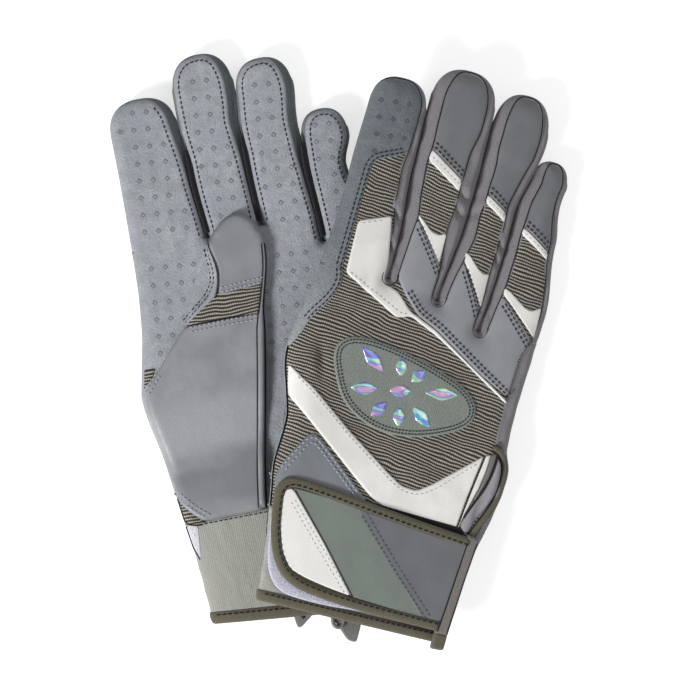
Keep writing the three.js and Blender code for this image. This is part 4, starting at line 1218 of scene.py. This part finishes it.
def fourchette_sections(glove, path, ways, top_in, low_in, seed, recess=0.0, puff=0.22, creases=()):
    """Sections of a soft side wall from its seam on the back, round the side, to its seam on the palm."""
    tops = np.array([1, 0.8, 0.62, 0.46, 0.32, 0.2, 0.1, 0.03, 0])
    lows = np.array([0.06, 0.2, 0.45, 0.72, 1])
    count = len(path)
    top_in = np.broadcast_to(top_in, count)[:, None] + 0.8
    low_in = np.broadcast_to(low_in, count)[:, None] + 0.8
    insets = np.hstack([top_in * tops, low_in * lows]) + recess
    columns = insets.shape[1]
    plan = (path[:, None] + ways[:, None] * insets[..., None]).reshape(-1, 2)
    above = glove.top(plan).reshape(count, columns)
    below = glove.bottom(plan).reshape(count, columns)
    level = np.where(np.arange(columns) < len(tops), above, below)
    run = run_along(path)
    folds = fold_noise([(s, c * 1.3) for s in run for c in range(columns)], (6.5, 4.5), seed)
    folds = folds.reshape(count, columns)
    window = np.sin(np.pi * np.linspace(0, 1, columns)) ** 0.7
    wide = np.clip((top_in - 1.2) / 3, 0.15, 1)
    level = level + np.where(np.arange(columns) < len(tops), 1, -1) * folds * window * puff * 2.2 * wide
    share = np.concatenate([tops, lows])
    half = np.arange(count) < np.argmax(path[:, 1])
    uneven = 0.8 + 0.5 * fold_noise([(s, 0.0) for s in run], (8.0, 1.0), seed + 0.5)[:, None]
    ridge = np.exp(-((tops - RIDGE_PLACE) / RIDGE_WIDTH) ** 2)
    ridge = ridge * np.where(half, *RIDGE_HEIGHT)[:, None] * uneven
    level[:, :len(tops)] += ridge * wide * np.abs(ways[:, :1])
    valley = PALM_VALLEY * np.clip(low_in / 4.0 - 0.25, 0, 1) * 4 * lows * (1.05 - lows)
    level[:, len(tops):] = np.minimum(level[:, len(tops):] + valley, MID_Z - 0.3)
    beside = np.clip(1 - share * 3, 0, 1)
    insets = insets + np.abs(folds) * window * puff * wide * (1 - beside)
    insets = insets - SIDE_SWELL * beside * (np.abs(ways[:, :1]) > 0.99)
    across = insets / np.maximum(top_in, 0.1)
    crest = np.concatenate([4 * tops * (1 - tops), 0 * lows])
    for y, side in creases:
        on_side = (half if side == 0 else ~half)[:, None] * crest
        slant = path[:, 1:2] - y - 4.0 * (across - 0.5)
        level = level - 1.9 * np.exp(-(slant / 1.5) ** 2) * on_side
        level = level + 0.9 * np.exp(-((slant - 4.0) / 2.4) ** 2) * on_side
    inner_level = level + np.where(level > MID_Z, -WALL, WALL) * 0.8
    inner = np.stack([insets + WALL, inner_level], axis=2)[:, ::-1]
    outer = np.stack([insets, level], axis=2)
    return np.concatenate([outer, inner], axis=1)


# The left glove's walls use the darker copy of the stretch fabric, as painted shade
CLOTH = {"right": "stretch", "left": "stretch_shaded"}
WALL = 0.8
# How deep the ends of a web's wall are sunk under the fingers' walls
WEB_SINK = (1.5, 0.8, 0.3)


def fourchettes(glove):
    """Stretch walls round the fingers, at the webs between them and along the little finger's side."""
    for i, finger in enumerate(FINGERS):
        finger_wall(glove, i, finger)
    for i, name in enumerate(("index_middle", "middle_ring", "ring_little")):
        web_wall(glove, i, name)
    y = np.arange(glove.webs[2] + 1.0, CUFF_TOP + 0.5, -1.6)
    path = np.c_[glove.hand_right(y), y]
    ways = np.tile((-1.0, 0.0), (len(y), 1))
    sections = fourchette_sections(glove, path, ways, outer_inset(y) - 0.4, 1.5, 14.0, puff=0.4)
    glove.sweep("outer_gusset_strip", path, ways, sections, CLOTH[glove.side], nodes=["gusset_outer"])


def finger_wall(glove, i, finger):
    """A finger's stretch wall, with a dark cord along its seam on the back."""
    low_left, low_right = glove.web_heights(i)
    path, ways, top_in = glove.round_finger(i, low_left + 0.3, low_right + 0.3)
    low_in = glove.round_finger(i, low_left + 0.3, low_right + 0.3, "pad")[2]
    line, line_ways, room = glove.round_finger(i, low_left + 1.5, low_right + 1.5)
    if i == 0:
        keep = np.arange(len(path)) > np.argmax(path[:, 1]) - 8
        path, ways, top_in, low_in = path[keep], ways[keep], top_in[keep], low_in[keep]
        line, line_ways, room = (values[keep[:len(line)]] for values in (line, line_ways, room))
    creases = [(y, side) for number, side, y in CREASES if number == i]
    sections = fourchette_sections(glove, path, ways, top_in, low_in, 2.0 + i, creases=creases)
    glove.sweep(f"{finger}_fourchette", path, ways, sections, CLOTH[glove.side], part=finger,
                nodes=[f"{finger}_gusset"])
    thick = np.where(np.arange(len(line)) < np.argmax(line[:, 1]) + 6, 0.26, 0.17)[:, None]
    glove.tube(f"{finger}_seam_line", line + line_ways * (room[:, None] - 0.1), glove.top, thick,
               slot="stretch", part=finger, lift=0.18, sides=6)


def web_wall(glove, i, name):
    """The wall at the web between two fingers, its seam, and a black cord above it as painted shadow in the
    gap.
    """
    y = glove.webs[i] + 0.45
    left, right = float(glove.finger_right(i, y)), float(glove.finger_left(i + 1, y))
    centre, radius = np.array([(left + right) / 2, y]), (right - left) / 2
    down = np.linspace(y + 9, y, 7)
    up = down[::-1]
    angle = np.pi * (1 + np.arange(1, 8) / 8)
    turn = np.c_[np.cos(angle), np.sin(angle)]
    path = np.vstack([np.c_[glove.finger_right(i, down), down], centre + turn * radius,
                      np.c_[glove.finger_left(i + 1, up), up]])
    ways = np.vstack([np.tile((-1.0, 0.0), (7, 1)), turn, np.tile((1.0, 0.0), (7, 1))])
    sections = fourchette_sections(glove, path, ways, SEAM_AT_WEB["cap"], SEAM_AT_WEB["pad"], 9.0 + i,
                                   recess=-0.35)
    sink = np.zeros(len(path))
    sink[:3], sink[-3:] = WEB_SINK, WEB_SINK[::-1]
    sections[..., 1] -= sink[:, None] * np.sign(sections[..., 1] - MID_Z)
    glove.sweep(f"web_{name}", path, ways, sections, CLOTH[glove.side], nodes=[f"gusset_{name}"])
    line = (path + ways * SEAM_AT_WEB["cap"])[5:-5]
    glove.tube(f"web_{name}_seam_line", line, glove.top, 0.24, slot="stretch", lift=0.75, sides=6)
    # A black cord deep in the gap between the fingers: painted shadow
    high = min(glove.tip_y[i], glove.tip_y[i + 1]) - GAP_SHADE_BELOW_TIP[i]
    y = np.arange(glove.webs[i] + 2.0, high, 1.6)
    middle = np.c_[(glove.finger_right(i, y) + glove.finger_left(i + 1, y)) / 2, y]
    thick = GAP_SHADE * smoothstep(high - y, 0, 16)[:, None] + 0.1
    glove.tube(f"gap_{name}_lining", middle, level_at(MID_Z - 2.4), thick, slot="stretch", part=FINGERS[i],
               up=-1, squeeze=1.6)


def level_at(z):
    """The same height everywhere."""
    return lambda points: np.full(len(points), z)


SLIT_FOLD = [(45.9, 87.2), (48.2, 84), (49.2, 79.7), (49.5, 74.7), (48.9, 71), (47.2, 67), (45, 62.6),
             (43, 57.6), (41, 51.6), (38, 51.6), (36.9, 55), (38.2, 58.8), (40, 63), (41.9, 68), (43.8, 73.3),
             (44.9, 77.6), (45.6, 82)]
SLIT_TAPE = [(42.7, 86.9), (45.4, 88.6), (45.6, 86), (45.2, 82.4), (44.5, 77.5), (43.4, 73.4), (42, 69.3),
             (39.9, 64.6), (37.8, 59.4), (39.8, 66), (41.5, 73), (42.5, 80)]
SLIT_GAP = [(45.9, 88), (45.5, 82), (44.6, 77.2), (43.4, 73), (41.8, 68.2), (39.8, 63.4), (37.6, 58)]
SLIT_ARC = [(43.2, 90.4), (46.2, 89.5), (48.9, 87), (50.4, 83.6), (51, 80), (51.1, 75), (50.7, 71),
            (49.6, 67), (47.4, 61.6), (44.8, 55.8), (42.6, 50.6)]


def outer_slit(glove):
    """The bound slit beside the strap, on the little finger's side, with a fold of stretch fabric in it."""
    def folded(points):
        x, y = points.T
        across = x - 0.55 * (y - 52) / 8 - 38
        return glove.top(points) + 0.5 + 0.7 * np.sin(across * 0.95 + 0.5) * smoothstep(y, 50, 60)

    glove.trim("slit_fold", SLIT_FOLD, 2.0, 1.2, "fold", height=folded, lift=0.9, drop=0.4, edge=1.6,
               step=1.1)
    arc = glove.from_right(SLIT_ARC, 5.0, 1.4, False)
    glove.tube("slit_binding", arc, glove.top, 1.35, "binding", lift=0.9, squeeze=0.8)
    glove.trim("slit_tape", SLIT_TAPE, 0.8, 1.2, "tape", lift=0.75, edge=0.7, step=1.3)
    gap = glove.from_right(SLIT_GAP, 5.0, 1.4, False)
    # The black cord along the slit's gap is painted shadow for the shaded opening
    for name, path, radius in (("gap", gap, 0.5), ("inner_line", shifted(arc, -1.5), 0.4),
                               ("outer_line", shifted(arc, 1.5), 0.3)):
        glove.tube(f"slit_{name}", path, glove.top, radius, slot="binding", lift=0.7)


def wrap(glove):
    """The palm's leather where it comes round the index side onto the back."""
    low, high = WRAP_LOW, glove.webs[0]
    seam = glove.on_hand(WRAP_SEAM, RIGHT_GLOVE)
    seam[:, 1] = seam[:, 1] + (high - ROOT_Y - 2) * smoothstep(seam[:, 1], 110, 150)
    start = np.array([[float(glove.hand_left(high)) + 8.6, high]])
    seam = rounded(np.vstack([start, seam[1:]]), 5.0, 1.4, False)
    up = np.linspace(low, high, 34)
    side = np.c_[glove.hand_left(up), up]
    outline = np.vstack([side, spaced([side[-1], start[0]], MESH_STEP)[1:-1], seam])
    glove.panel("index_side_wrap", outline, glove.top, "suede_back", lift=0.75,
                flat=[side, np.vstack([side[-1:], start])])
    rows = double(shifted(seam, -1.9)[seam[:, 1] > 124], glove.top, 1.7, lift=0.82)
    stitches(glove, "index_side_stitches", rows, "thread_dark", "suede")


def palm(glove):
    """Napped leather over the palm and the fingers' pads, with printed grip dots."""
    how = {"lift": 0.3, "drop": 0.75, "up": -1}
    outline = hand_outline(glove, 0.0, lambda y: 1.4 + 0 * y)
    y = np.arange(CUFF_TOP, 160, 2.0)
    side = np.c_[glove.hand_left(y), y]
    glove.panel("palm_leather", outline, glove.bottom, "suede", nodes=["palm"],
                flat=hand_cuts(glove) + [side], step=2.0, **how)
    grip_dots(glove, "palm_prints", outline[outline[:, 1] > 100], glove.bottom, -1, 0.34, 5.0)
    for i, finger in enumerate(FINGERS):
        outline = finger_outline(glove, i, "pad")
        low_left, low_right = glove.web_heights(i)
        flat = [cut_line(glove, i)]
        if i == 0:
            edge = glove.round_finger(0, low_left, low_right, "pad")[0]
            flat.append(edge[:np.argmax(edge[:, 1]) - 4])
        glove.panel(f"{finger}_pad_leather", outline, glove.bottom, "suede", part=finger,
                    nodes=[f"{finger}_pad"], flat=flat, **how)
        grip_dots(glove, f"{finger}_pad_prints", outline, glove.bottom, -1, 0.34, 3.7, finger)
        points, ways, room = glove.round_finger(i, low_left + 1, low_right + 1, "pad")
        seam = points + ways * (room + PAD_ROW)[:, None]
        if i == 0:
            seam = seam[np.argmax(points[:, 1]) + 4:]
        rows = [row(seam, glove.bottom, lift=0.4, radius=0.3, up=-1)]
        stitches(glove, f"{finger}_pad_stitches", rows, "thread_dark", "suede", finger)


# Thumb
THUMB_SILHOUETTE = [(-14.5, 43.6), (-12, 60), (-8, 80), (-2.5, 108), (0.8, 127), (4.6, 139), (7.1, 150),
                    (7.5, 156.2), (6.6, 161.4), (4.7, 166.1), (1, 169.6), (-2.5, 171.1), (-5.7, 170.8),
                    (-9.8, 168.9), (-13.6, 165.3), (-17.4, 161.4), (-18, 152), (-18, 143), (-22.5, 137.5),
                    (-29, 133), (-34, 127.4), (-40, 120.5), (-47, 112.5), (-52.5, 106.5), (-57.6, 100),
                    (-57, 90), (-54.2, 75), (-52.9, 60), (-52.4, 55), (-47, 46), (-41, 43.2), (-26, 43.4)]
THUMB_ROUND = 2.4
THUMB_FULL = 6.0
THUMB_STALL = [(7.2, 150), (7.5, 156.2), (6.6, 161.4), (4.7, 166.1), (1, 169.6), (-2.5, 171.1), (-5.7, 170.8),
               (-9.8, 168.9), (-13.6, 165.3), (-16.6, 161.8), (-17, 158.8), (-16, 154.5), (-15, 149.9),
               (-15.1, 146.2), (-16.1, 141.4), (-17.2, 137.6), (4.4, 138.8)]
THUMB_LINE = [(-16.9, 161.9), (-17.2, 158.8), (-16.2, 154.5), (-15.2, 149.9), (-15.2, 146.2), (-16.2, 141.4),
              (-18.4, 136.6)]
THUMB_GORES = {"high": [(-54.6, 112.4), (-56.4, 103.6), (-51, 108.6), (-49.4, 112)],
               "low": [(-52.4, 57), (-52.3, 49), (-50, 43.9), (-46.4, 42), (-41, 42.4), (-44.2, 47),
                       (-49.6, 53)]}
GORE_LINE = [(-51.6, 55), (-51.9, 49), (-49.7, 44.1), (-46.4, 42.3), (-42.4, 42)]
FOLD_EDGE = [(-15.8, 44.4), (-13.4, 60), (-9.4, 80), (-3.9, 108), (-0.8, 126), (2.8, 138), (5.4, 148),
             (6.1, 156)]
FOLD_RADIUS = (1.5, 0.45)
HOLLOW_DEPTH = 3.3
HOLLOW_LEVEL = 71.0
HOLLOW_REACH = (6.8, 11.5)
FOLD_TAPER = (118.0, 134.0)
THUMB_SIDE = [(-17, 161.8), (-19.8, 157.7), (-22.5, 153.3), (-25.2, 147.5), (-27.8, 140.5), (-32, 134),
              (-36, 128.5), (-33, 127.4), (-28, 130.8), (-22, 134.6), (-18.2, 136.8), (-16.1, 141.4),
              (-15.2, 146.2), (-15.1, 149.9), (-16.1, 154.5), (-17.1, 158.8)]
THUMB_SIDE_ROW = [(-18.5, 158.6), (-18.4, 154.9), (-17.8, 147.9), (-18.6, 143), (-22.4, 138), (-28, 133.8),
                  (-33.8, 129.2)]
THUMB_KNIT = [(-34, 127.6), (-29, 131), (-22.5, 135), (-17.5, 139.6), (4.6, 140), (3.1, 133), (1.2, 126.6)]
# Double rows of pale stitches on the thumb
THUMB_ROWS = ([(-15.6, 139.6), (-6, 140.4), (4.2, 140.7)], [(-32, 125.4), (-16, 125.6), (0, 125.2)],
              [(-51.4, 58.4), (-48.8, 54.6), (-44.2, 49.3), (-38.6, 44.6)], [(-48.6, 109.4), (-55.4, 101.6)])


def thumb_height(glove, whole):
    """Height of the folded thumb over the palm, with a hollow across its base."""
    thick = glove.thumb - 0.9

    def height(points):
        crown = dome(np.clip(distance(points, whole, True) / THUMB_ROUND, 0, 1))
        crown = crown * np.where(inside(points, whole), 1, 0)
        x, y = points.T
        level = y - 0.2 * (x + 30)
        reach = np.where(level < HOLLOW_LEVEL, *HOLLOW_REACH)
        hollow = HOLLOW_DEPTH * np.exp(-((level - HOLLOW_LEVEL) / reach) ** 2)
        hollow = hollow + 0.4 * fold_noise(points, (21, 13), 31.0)
        gather = 0.8 * np.exp(-((level - 46) / 9.0) ** 2)
        thickness = thick - (hollow - gather) * glove.thumb / THUMB_FULL
        return under_thumb(glove)(points) - 0.5 - thickness * crown
    return height


def under_thumb(glove, gap=0.0):
    return lambda points: np.minimum(glove.bottom(points), -1.6) - gap


def thumb(glove):
    """The thumb folded over the palm: a smooth base panel, a knit strip and the padded stall."""
    whole = counterclockwise(glove.from_left(THUMB_SILHOUETTE, 4.0, 1.5))
    height = thumb_height(glove, whole)

    def piece(name, points, material, corner=2.5, nodes=(), lift=0.5):
        glove.panel(name, glove.from_left(points, corner), height, material, part="thumb", nodes=nodes,
                    lift=lift, drop=1.2, edge=1.0, up=-1)

    base = [(x, min(y, THUMB_KNIT_LOW)) for x, y in THUMB_PANEL]
    piece("thumb_base_panel", base, "thumb_base", nodes=["thumb_panel"])
    glove.panel("thumb_inner_leather", whole, under_thumb(glove, 0.55), "suede", part="thumb", lift=0.2,
                drop=0.25, edge=0.5)
    piece("thumb_cap", THUMB_STALL, "thumb_cap", 3.0, ["thumb_stall"])
    piece("thumb_knit_strip", THUMB_KNIT, "knit", 1.5, lift=0.0)
    piece("thumb_side_leather", THUMB_SIDE, "suede", 2.0, lift=0.35)
    thumb_lines(glove, height)


def thumb_lines(glove, height):
    """The thumb's rolled fold, its dark seams, its stitches and the knit gores beside it."""
    where = {"part": "thumb", "up": -1}
    fold = glove.from_left(FOLD_EDGE, 20, 1.6, False)
    radius = lerp(*FOLD_RADIUS, smoothstep(fold[:, 1], *FOLD_TAPER))[:, None]
    glove.tube("thumb_fold", fold, height, radius, "panel", lift=0.4, squeeze=0.7, **where)
    # The outer line is a dark seam cord widened to stand for the shadow beside the fold: partly painted
    # shadow
    for name, side, thick in (("inner", 1, 0.26), ("outer", -1, 0.5)):
        path = fold + inward(fold) * (radius + 0.15) * side
        glove.tube(f"thumb_fold_{name}_line", path, height, thick, slot="panel", lift=0.5, **where)
    glove.tube("thumb_cap_line", glove.from_left(THUMB_LINE, 3, 1.4, False), height, 0.26, slot="synthetic",
               lift=0.45, sides=6, **where)
    how = {"up": -1, "length": 1.5, "pitch": 2.0}
    rows = [row for points in THUMB_ROWS
            for row in double(glove.from_left(points, 2.0, 1.5, False), height, 1.9, lift=0.6, radius=0.4,
                              **how)]
    stitches(glove, "thumb_light_stitches", rows, "thread_light", "panel", "thumb")
    rows = double(glove.from_left(THUMB_SIDE_ROW, 4, 1.5, False), height, 1.4, lift=0.45, radius=0.28, **how)
    stitches(glove, "thumb_dark_stitches", rows, "thread_dark", "suede", "thumb")
    for name, corner in THUMB_GORES.items():
        glove.panel(f"thumb_{name}_gore", glove.from_left(corner, 1.0, 1.2), glove.bottom, "knit", lift=0.9,
                    drop=0.6, up=-1, edge=0.6, step=1.4)
    glove.tube("thumb_gore_line", glove.from_left(GORE_LINE, 4, 1.5, False), glove.bottom, 0.34, slot="knit",
               lift=0.9, up=-1, sides=6)


# Wrist
CUFF_WALL = 1.1
HEM_ROW = 6.7
RING_POINTS = 96


def with_hem(glove, points):
    """Points on the wrist, drawn down towards a hem that hangs lower and askew."""
    drop, slope = glove.hem_drop
    points = np.array(points, float)
    share = np.clip((CUFF_TOP - points[:, 1]) / (CUFF_TOP - CUFF_HEM), 0, None)
    reach = drop + slope * np.clip(points[:, 0] + PALM_WIDTH * 0.44, 0, PALM_WIDTH * 0.5)
    points[:, 1] -= share * reach
    return points


def cuff_ring(glove, y, inset):
    """Plan x and level of the points round the wrist at a height."""
    ripple = 0.25 * math.sin(y * 0.33 + 1.0)
    left, right = float(glove.hand_left(y)) + inset, float(glove.hand_right(y)) - inset
    low, high = inset - CUFF_PALM_FACE, CUFF_BACK_FACE - inset
    angle = 2 * np.pi * np.arange(RING_POINTS) / RING_POINTS
    across = np.sign(np.cos(angle)) * np.abs(np.cos(angle)) ** 0.5
    up = np.sign(np.sin(angle)) * np.abs(np.sin(angle)) ** 0.5
    x = (left + right) / 2 + across * ((right - left) / 2 - abs(ripple))
    return with_hem(glove, np.c_[x, np.full(RING_POINTS, y), (low + high) / 2 + up * (high - low) / 2])


# Heights and insets down the outside of the hem's binding and back up its inside
HEM_LEVELS = [(8.0, -0.05), (7.7, -0.5), (6, -0.7), (4.4, -0.65), (3.5, -0.2), (3.2, CUFF_WALL / 2),
              (3.5, CUFF_WALL + 0.3), (4.6, CUFF_WALL + 0.6), (7, CUFF_WALL + 0.5), (7.2, CUFF_WALL)]


def wrist_tube(glove, name, levels, material, nodes=()):
    """A closed tube from (height, inset) levels that run down the outside and back up the inside."""
    rings = [cuff_ring(glove, y, inset) for y, inset in levels]
    total = len(rings) * RING_POINTS
    faces = [tuple(v % total for v in face) for face in ring_faces(len(rings) + 1, RING_POINTS)]
    glove.place(name, np.vstack(rings), faces, material, nodes=nodes)


def cuff_level(glove, up, inset=0.0):
    """Height of the wrist's palm or back face as a function of the plan."""
    def level(points):
        x, y = points.T
        left, right = glove.hand_left(y) + inset, glove.hand_right(y) - inset
        across = np.clip(np.abs(2 * (x - left) / (right - left) - 1), 0, 0.999)
        low, high = inset - CUFF_PALM_FACE, CUFF_BACK_FACE - inset
        return (low + high) / 2 + up * (high - low) / 2 * (1 - across ** 4) ** 0.25
    return level


def wrist_row(glove, y, margin):
    x = np.linspace(float(glove.hand_left(y)) + margin, float(glove.hand_right(y)) - margin, 40)
    return np.c_[x, np.full(40, y)]


def cuff(glove):
    """The elastic wrist, its bound hem and the seam that joins it to the hand."""
    down = np.linspace(CUFF_TOP + 0.6, CUFF_HEM, 24)
    levels = [(y, 0.0) for y in down] + [(y, CUFF_WALL) for y in np.linspace(CUFF_HEM, CUFF_TOP + 0.6, 24)]
    wrist_tube(glove, "elastic_cuff", levels, "elastic", ["cuff"])
    wrist_tube(glove, "hem_binding", HEM_LEVELS, "binding")
    rows = [row(with_hem(glove, wrist_row(glove, HEM_ROW, 2)), cuff_level(glove, up, -0.7), lift=0.05,
                pitch=2.5, length=2.0, up=up) for up in (1, -1)]
    seam = wrist_row(glove, CUFF_TOP + 0.2, 1.5) - (0, 1.0)
    rows.append(row(seam, cuff_level(glove, -1), lift=0.0, radius=0.25, up=-1))
    stitches(glove, "cuff_stitches", rows, "thread_black", "binding")
    glove.panel("loop_return", glove.from_left(LOOP_RETURN, 2.0, 1.2), cuff_level(glove, -1), "loop_pale",
                lift=0.35, drop=0.4, up=-1, edge=0.5, step=1.3)
    glove.tube("loop_return_line", resampled(glove.on_hand(LOOP_EDGE, LEFT_GLOVE), 1.6),
               cuff_level(glove, -1), 0.3, slot="loop", lift=0.3, up=-1, sides=6)


def on_strap(glove, points):
    x, y = np.asarray(points, float).T
    drawn = np.c_[STRAP_ROOT + (x - STRAP_ROOT) * np.where(x < STRAP_ROOT, STRAP_STRETCH, 1), y]
    return glove.on_hand(drawn, RIGHT_GLOVE)


def pushed_in(points, outline, margin):
    """Points moved so far inside an outline that they stand a margin away from it."""
    rim = spaced(outline, 0.3, True)
    gap = points[:, None] - rim[None]
    nearest = rim[(gap ** 2).sum(2).argmin(1)]
    way = points - nearest
    reach = np.linalg.norm(way, axis=1, keepdims=True)
    way = np.where(inside(points, outline)[:, None], 1, -1) * way / np.maximum(reach, 1e-6)
    reach = reach * np.where(inside(points, outline)[:, None], 1, -1)
    return np.where(reach < margin, nearest + way * margin, points)


# Panels of the strap: outline and lift
STRAP_PANELS = {"white": (STRAP_WHITE, 0.8), "green": (STRAP_GREEN, 0.66), "grey": (STRAP_GREY, 0.8)}
# Section of the strap's binding: distance in from its rim, and rise
STRAP_SECTION = [(STRAP_EDGE, 0.5), (STRAP_EDGE - 0.1, 0.95), (3.2, 1.25), (1.6, 1.35), (0.4, 1.05),
                 (-0.15, 0.4), (-0.1, -0.1), (0.4, -0.4), (1.6, -0.45), (2.8, -0.4)]


def strap(glove):
    """The closure strap: three panels on a bound tongue, with hooks under its free end."""
    outline = counterclockwise(rounded(on_strap(glove, STRAP), 7.0, 1.4))

    def height(points):
        return 4.55 + 0.25 * smoothstep(points[:, 0], -44, -26) + 0.12 * fold_noise(points, (15, 12), 21.0)

    glove.panel("strap_body", outline, height, "binding", slot="strap", part="strap", nodes=["strap"],
                lift=0.1, drop=0.35, edge=0.8, step=2.2)
    free = outline + np.where(outline[:, :1] > 28, (9.0, 0.0), (0.0, 0.0))
    for name, (points, lift) in STRAP_PANELS.items():
        area = pushed_in(rounded(on_strap(glove, points), 2.5, 1.4), free, STRAP_EDGE - 0.2)
        glove.panel(f"strap_{name}_panel", area, height, f"strap_{name}", part="strap", lift=lift, drop=0.0,
                    edge=0.5, step=1.9)
    edge = rounded(on_strap(glove, STRAP_BOUND), 7.0, 1.4, False)
    ways = inward(edge)
    sections = np.array([[(inset, level + rise) for inset, rise in STRAP_SECTION] for level in height(edge)])
    glove.sweep("strap_binding", edge, ways, sections, "binding", part="strap")
    rows = [row(edge + ways * (STRAP_EDGE - 1.0), height, lift=1.34, pitch=2.7, length=2.1, radius=0.36)]
    stitches(glove, "strap_binding_stitches", rows, "thread_black", "binding", "strap")

    def line(*points):
        return resampled(on_strap(glove, points), 2.0)

    rows = double(line((-4.6, 49.6), (14, 30.4), (32.4, 12.6)), height, 2.3, lift=0.85, radius=0.3)
    stitches(glove, "strap_seam_stitches", rows, "thread_mid", "strap", "strap")
    rows = double(line((-35.4, 48), (-20, 31.6), (-4, 15)), height, 1.8, lift=0.88, radius=0.2, length=1.2)
    stitches(glove, "strap_white_stitches", rows, "thread_pale", "strap", "strap")
    glove.tube("strap_seam_line", line((-35.2, 52.6), (-17.6, 33.4), (-1.0, 14)), height, 0.2, slot="strap",
               part="strap", lift=0.72)
    glove.trim("hook_tape", HOOK, 3.0, 1.6, "hook", height=level_at(4.1), part="strap", nodes=["hook_patch"],
               lift=0.25, drop=0.1, edge=0.4, step=2.4)
    glove.trim("loop_tape", LOOP, 6.0, 1.4, "loop", height=level_at(CUFF_BACK_FACE + 0.5),
               nodes=["loop_patch"], lift=0.45, drop=0.3, step=2.0)
    # A black sheet in the gap above the strap's upper edge: painted shadow
    glove.trim("strap_gap_painted_shadow", STRAP_GAP_SHADOW, 1.0, 1.4, "piping_and_painted_shadow", slot="binding", lift=1.25, drop=0.3,
               edge=0.4, step=1.3)
    strap_end(glove)


def strap_end(glove):
    """The tape that covers the strap's sewn end, with a dark seam on each side and a folded foot."""
    level = level_at(STRAP_HIGH - 0.9)
    glove.trim("strap_end_tape", END_TAPE, 1.2, 1.2, "tape", height=level, lift=0.9, drop=2.2, edge=1.2,
               step=1.4)
    for name, path in (("inner", END_INNER), ("outer", END_OUTER)):
        line = resampled(glove.on_hand(path, RIGHT_GLOVE), 1.6)
        glove.tube(f"strap_end_{name}_seam", line, level, 0.32, slot="binding", lift=0.75, sides=6)
    glove.trim("strap_end_foot", END_FOOT, 1.4, 1.0, "binding", height=level, lift=1.2, drop=2.4, edge=1.0,
               step=1.2)


TAB_SHARE = 0.48
TABS = {
    "right": ([(-5.4, 3.8), (-1.4, 0.6), (4.4, -4.6), (8.4, -4.8), (8.6, 3.8)],
              [(-4.6, 3.6), (-3.6, 0.4), (-1.0, -0.4), (0.8, 1.4), (0.2, 3.6)], None),
    "left": ([(-4.5, 3.8), (-6.6, -4), (-5.8, -9.4), (-4.2, -9.6), (2.4, -4.6), (4.5, 3.8)], None,
             (-2.6, -5.2)),
}


def tabs(glove):
    """The pull tab under the hem: folded double on one glove and with its snap showing on the other."""
    middle = lerp(float(glove.hand_left(0)), float(glove.hand_right(0)), TAB_SHARE)
    shape, fold, snap_at = TABS[glove.side]
    level = level_at(1.0 - CUFF_PALM_FACE)
    up = 1 if glove.side == "right" else -1
    glove.panel("hem_tab", rounded(np.array(shape) + (middle, 0), 1.6, 1.0), level, "tab", nodes=["pull_tab"],
                lift=0.5, drop=0.6, edge=0.5, step=1.2, up=up)
    if fold:
        path = rounded(np.array(fold) + (middle, 0), 2.0, 0.7, False)
        glove.tube("tab_fold", path, level, 0.9, "tape", slot="stretch", lift=0.7, up=up)
    if snap_at:
        angle = 2 * np.pi * np.arange(20) / 20
        ring = np.array(snap_at) + (middle, 0) + 1.1 * np.c_[np.cos(angle), np.sin(angle)]
        glove.panel("tab_snap", ring, level, "snap", lift=1.0, drop=0.0, edge=0.7, step=0.6, up=up)


# Scene
PHOTO_WIDTH = 292.4
SCALE_LEVEL = 15.0
CAMERA_HEIGHT = 2400.0
FLOOR_GLOW = 0.65
FLOOR_SHADE = 0.75
WORLD_LIGHT = 0.27
LAMPS = (("key", (-1.2, -1.0, 1.15), 0.5, 35.0), ("fill", (1.3, 0.6, 1.3), 1.6, 8.5))


def stage():
    """A white floor that looks lit to the camera only, and keeps the gloves' shadow."""
    bpy.ops.mesh.primitive_plane_add(size=8.0, location=(0, 0, -0.0004))
    floor = bpy.context.object
    floor.name = "floor"
    paper = Finish("white_paper", 0xffffff, 0.95)
    paper.feed(paper.shader.inputs["Base Color"], (FLOOR_SHADE, FLOOR_SHADE, FLOOR_SHADE, 1))
    path = paper.add("ShaderNodeLightPath")
    seen = paper.math("MAXIMUM", path.outputs["Is Camera Ray"], path.outputs["Is Glossy Ray"])
    seen = paper.math("MAXIMUM", seen, path.outputs["Is Transmission Ray"])
    paper.shader.inputs["Emission Color"].default_value = (1, 1, 1, 1)
    paper.feed(paper.shader.inputs["Emission Strength"], paper.math("MULTIPLY", seen, FLOOR_GLOW))
    floor.data.materials.append(paper.material)


def lights_and_camera(shift):
    """Soft studio light from the lower left, and a camera that looks straight down."""
    scene = bpy.context.scene
    world = bpy.data.worlds.new("studio")
    scene.world = world
    world.use_nodes = True
    world.node_tree.nodes["Background"].inputs["Color"].default_value = (1, 1, 1, 1)
    world.node_tree.nodes["Background"].inputs["Strength"].default_value = WORLD_LIGHT
    for name, place, size, power in LAMPS:
        light = bpy.data.lights.new(name, "AREA")
        light.size, light.energy = size, power
        lamp = bpy.data.objects.new(name, light)
        lamp.location = place
        lamp.rotation_euler = Vector(place).to_track_quat("Z", "Y").to_euler()
        scene.collection.objects.link(lamp)
    lens = bpy.data.cameras.new("camera")
    camera = bpy.data.objects.new("camera", lens)
    camera.location = Vector((shift.x, shift.y, CAMERA_HEIGHT)) * METRE
    lens.sensor_fit = "HORIZONTAL"
    lens.sensor_width = 36.0
    lens.lens = lens.sensor_width * (CAMERA_HEIGHT - SCALE_LEVEL) / PHOTO_WIDTH
    lens.clip_end = 20.0
    scene.collection.objects.link(camera)
    scene.camera = camera
    scene.view_settings.view_transform = "Standard"


RIGHT_GLOVE, LEFT_GLOVE, SHIFT = glove_pair()
for GLOVE in (RIGHT_GLOVE, LEFT_GLOVE):
    for build in (palm, back_base, caps, white_wedges, overlays, emblem, wrap, fourchettes, outer_slit, thumb,
                  cuff, strap, tabs):
        build(GLOVE)
stage()
lights_and_camera(SHIFT)
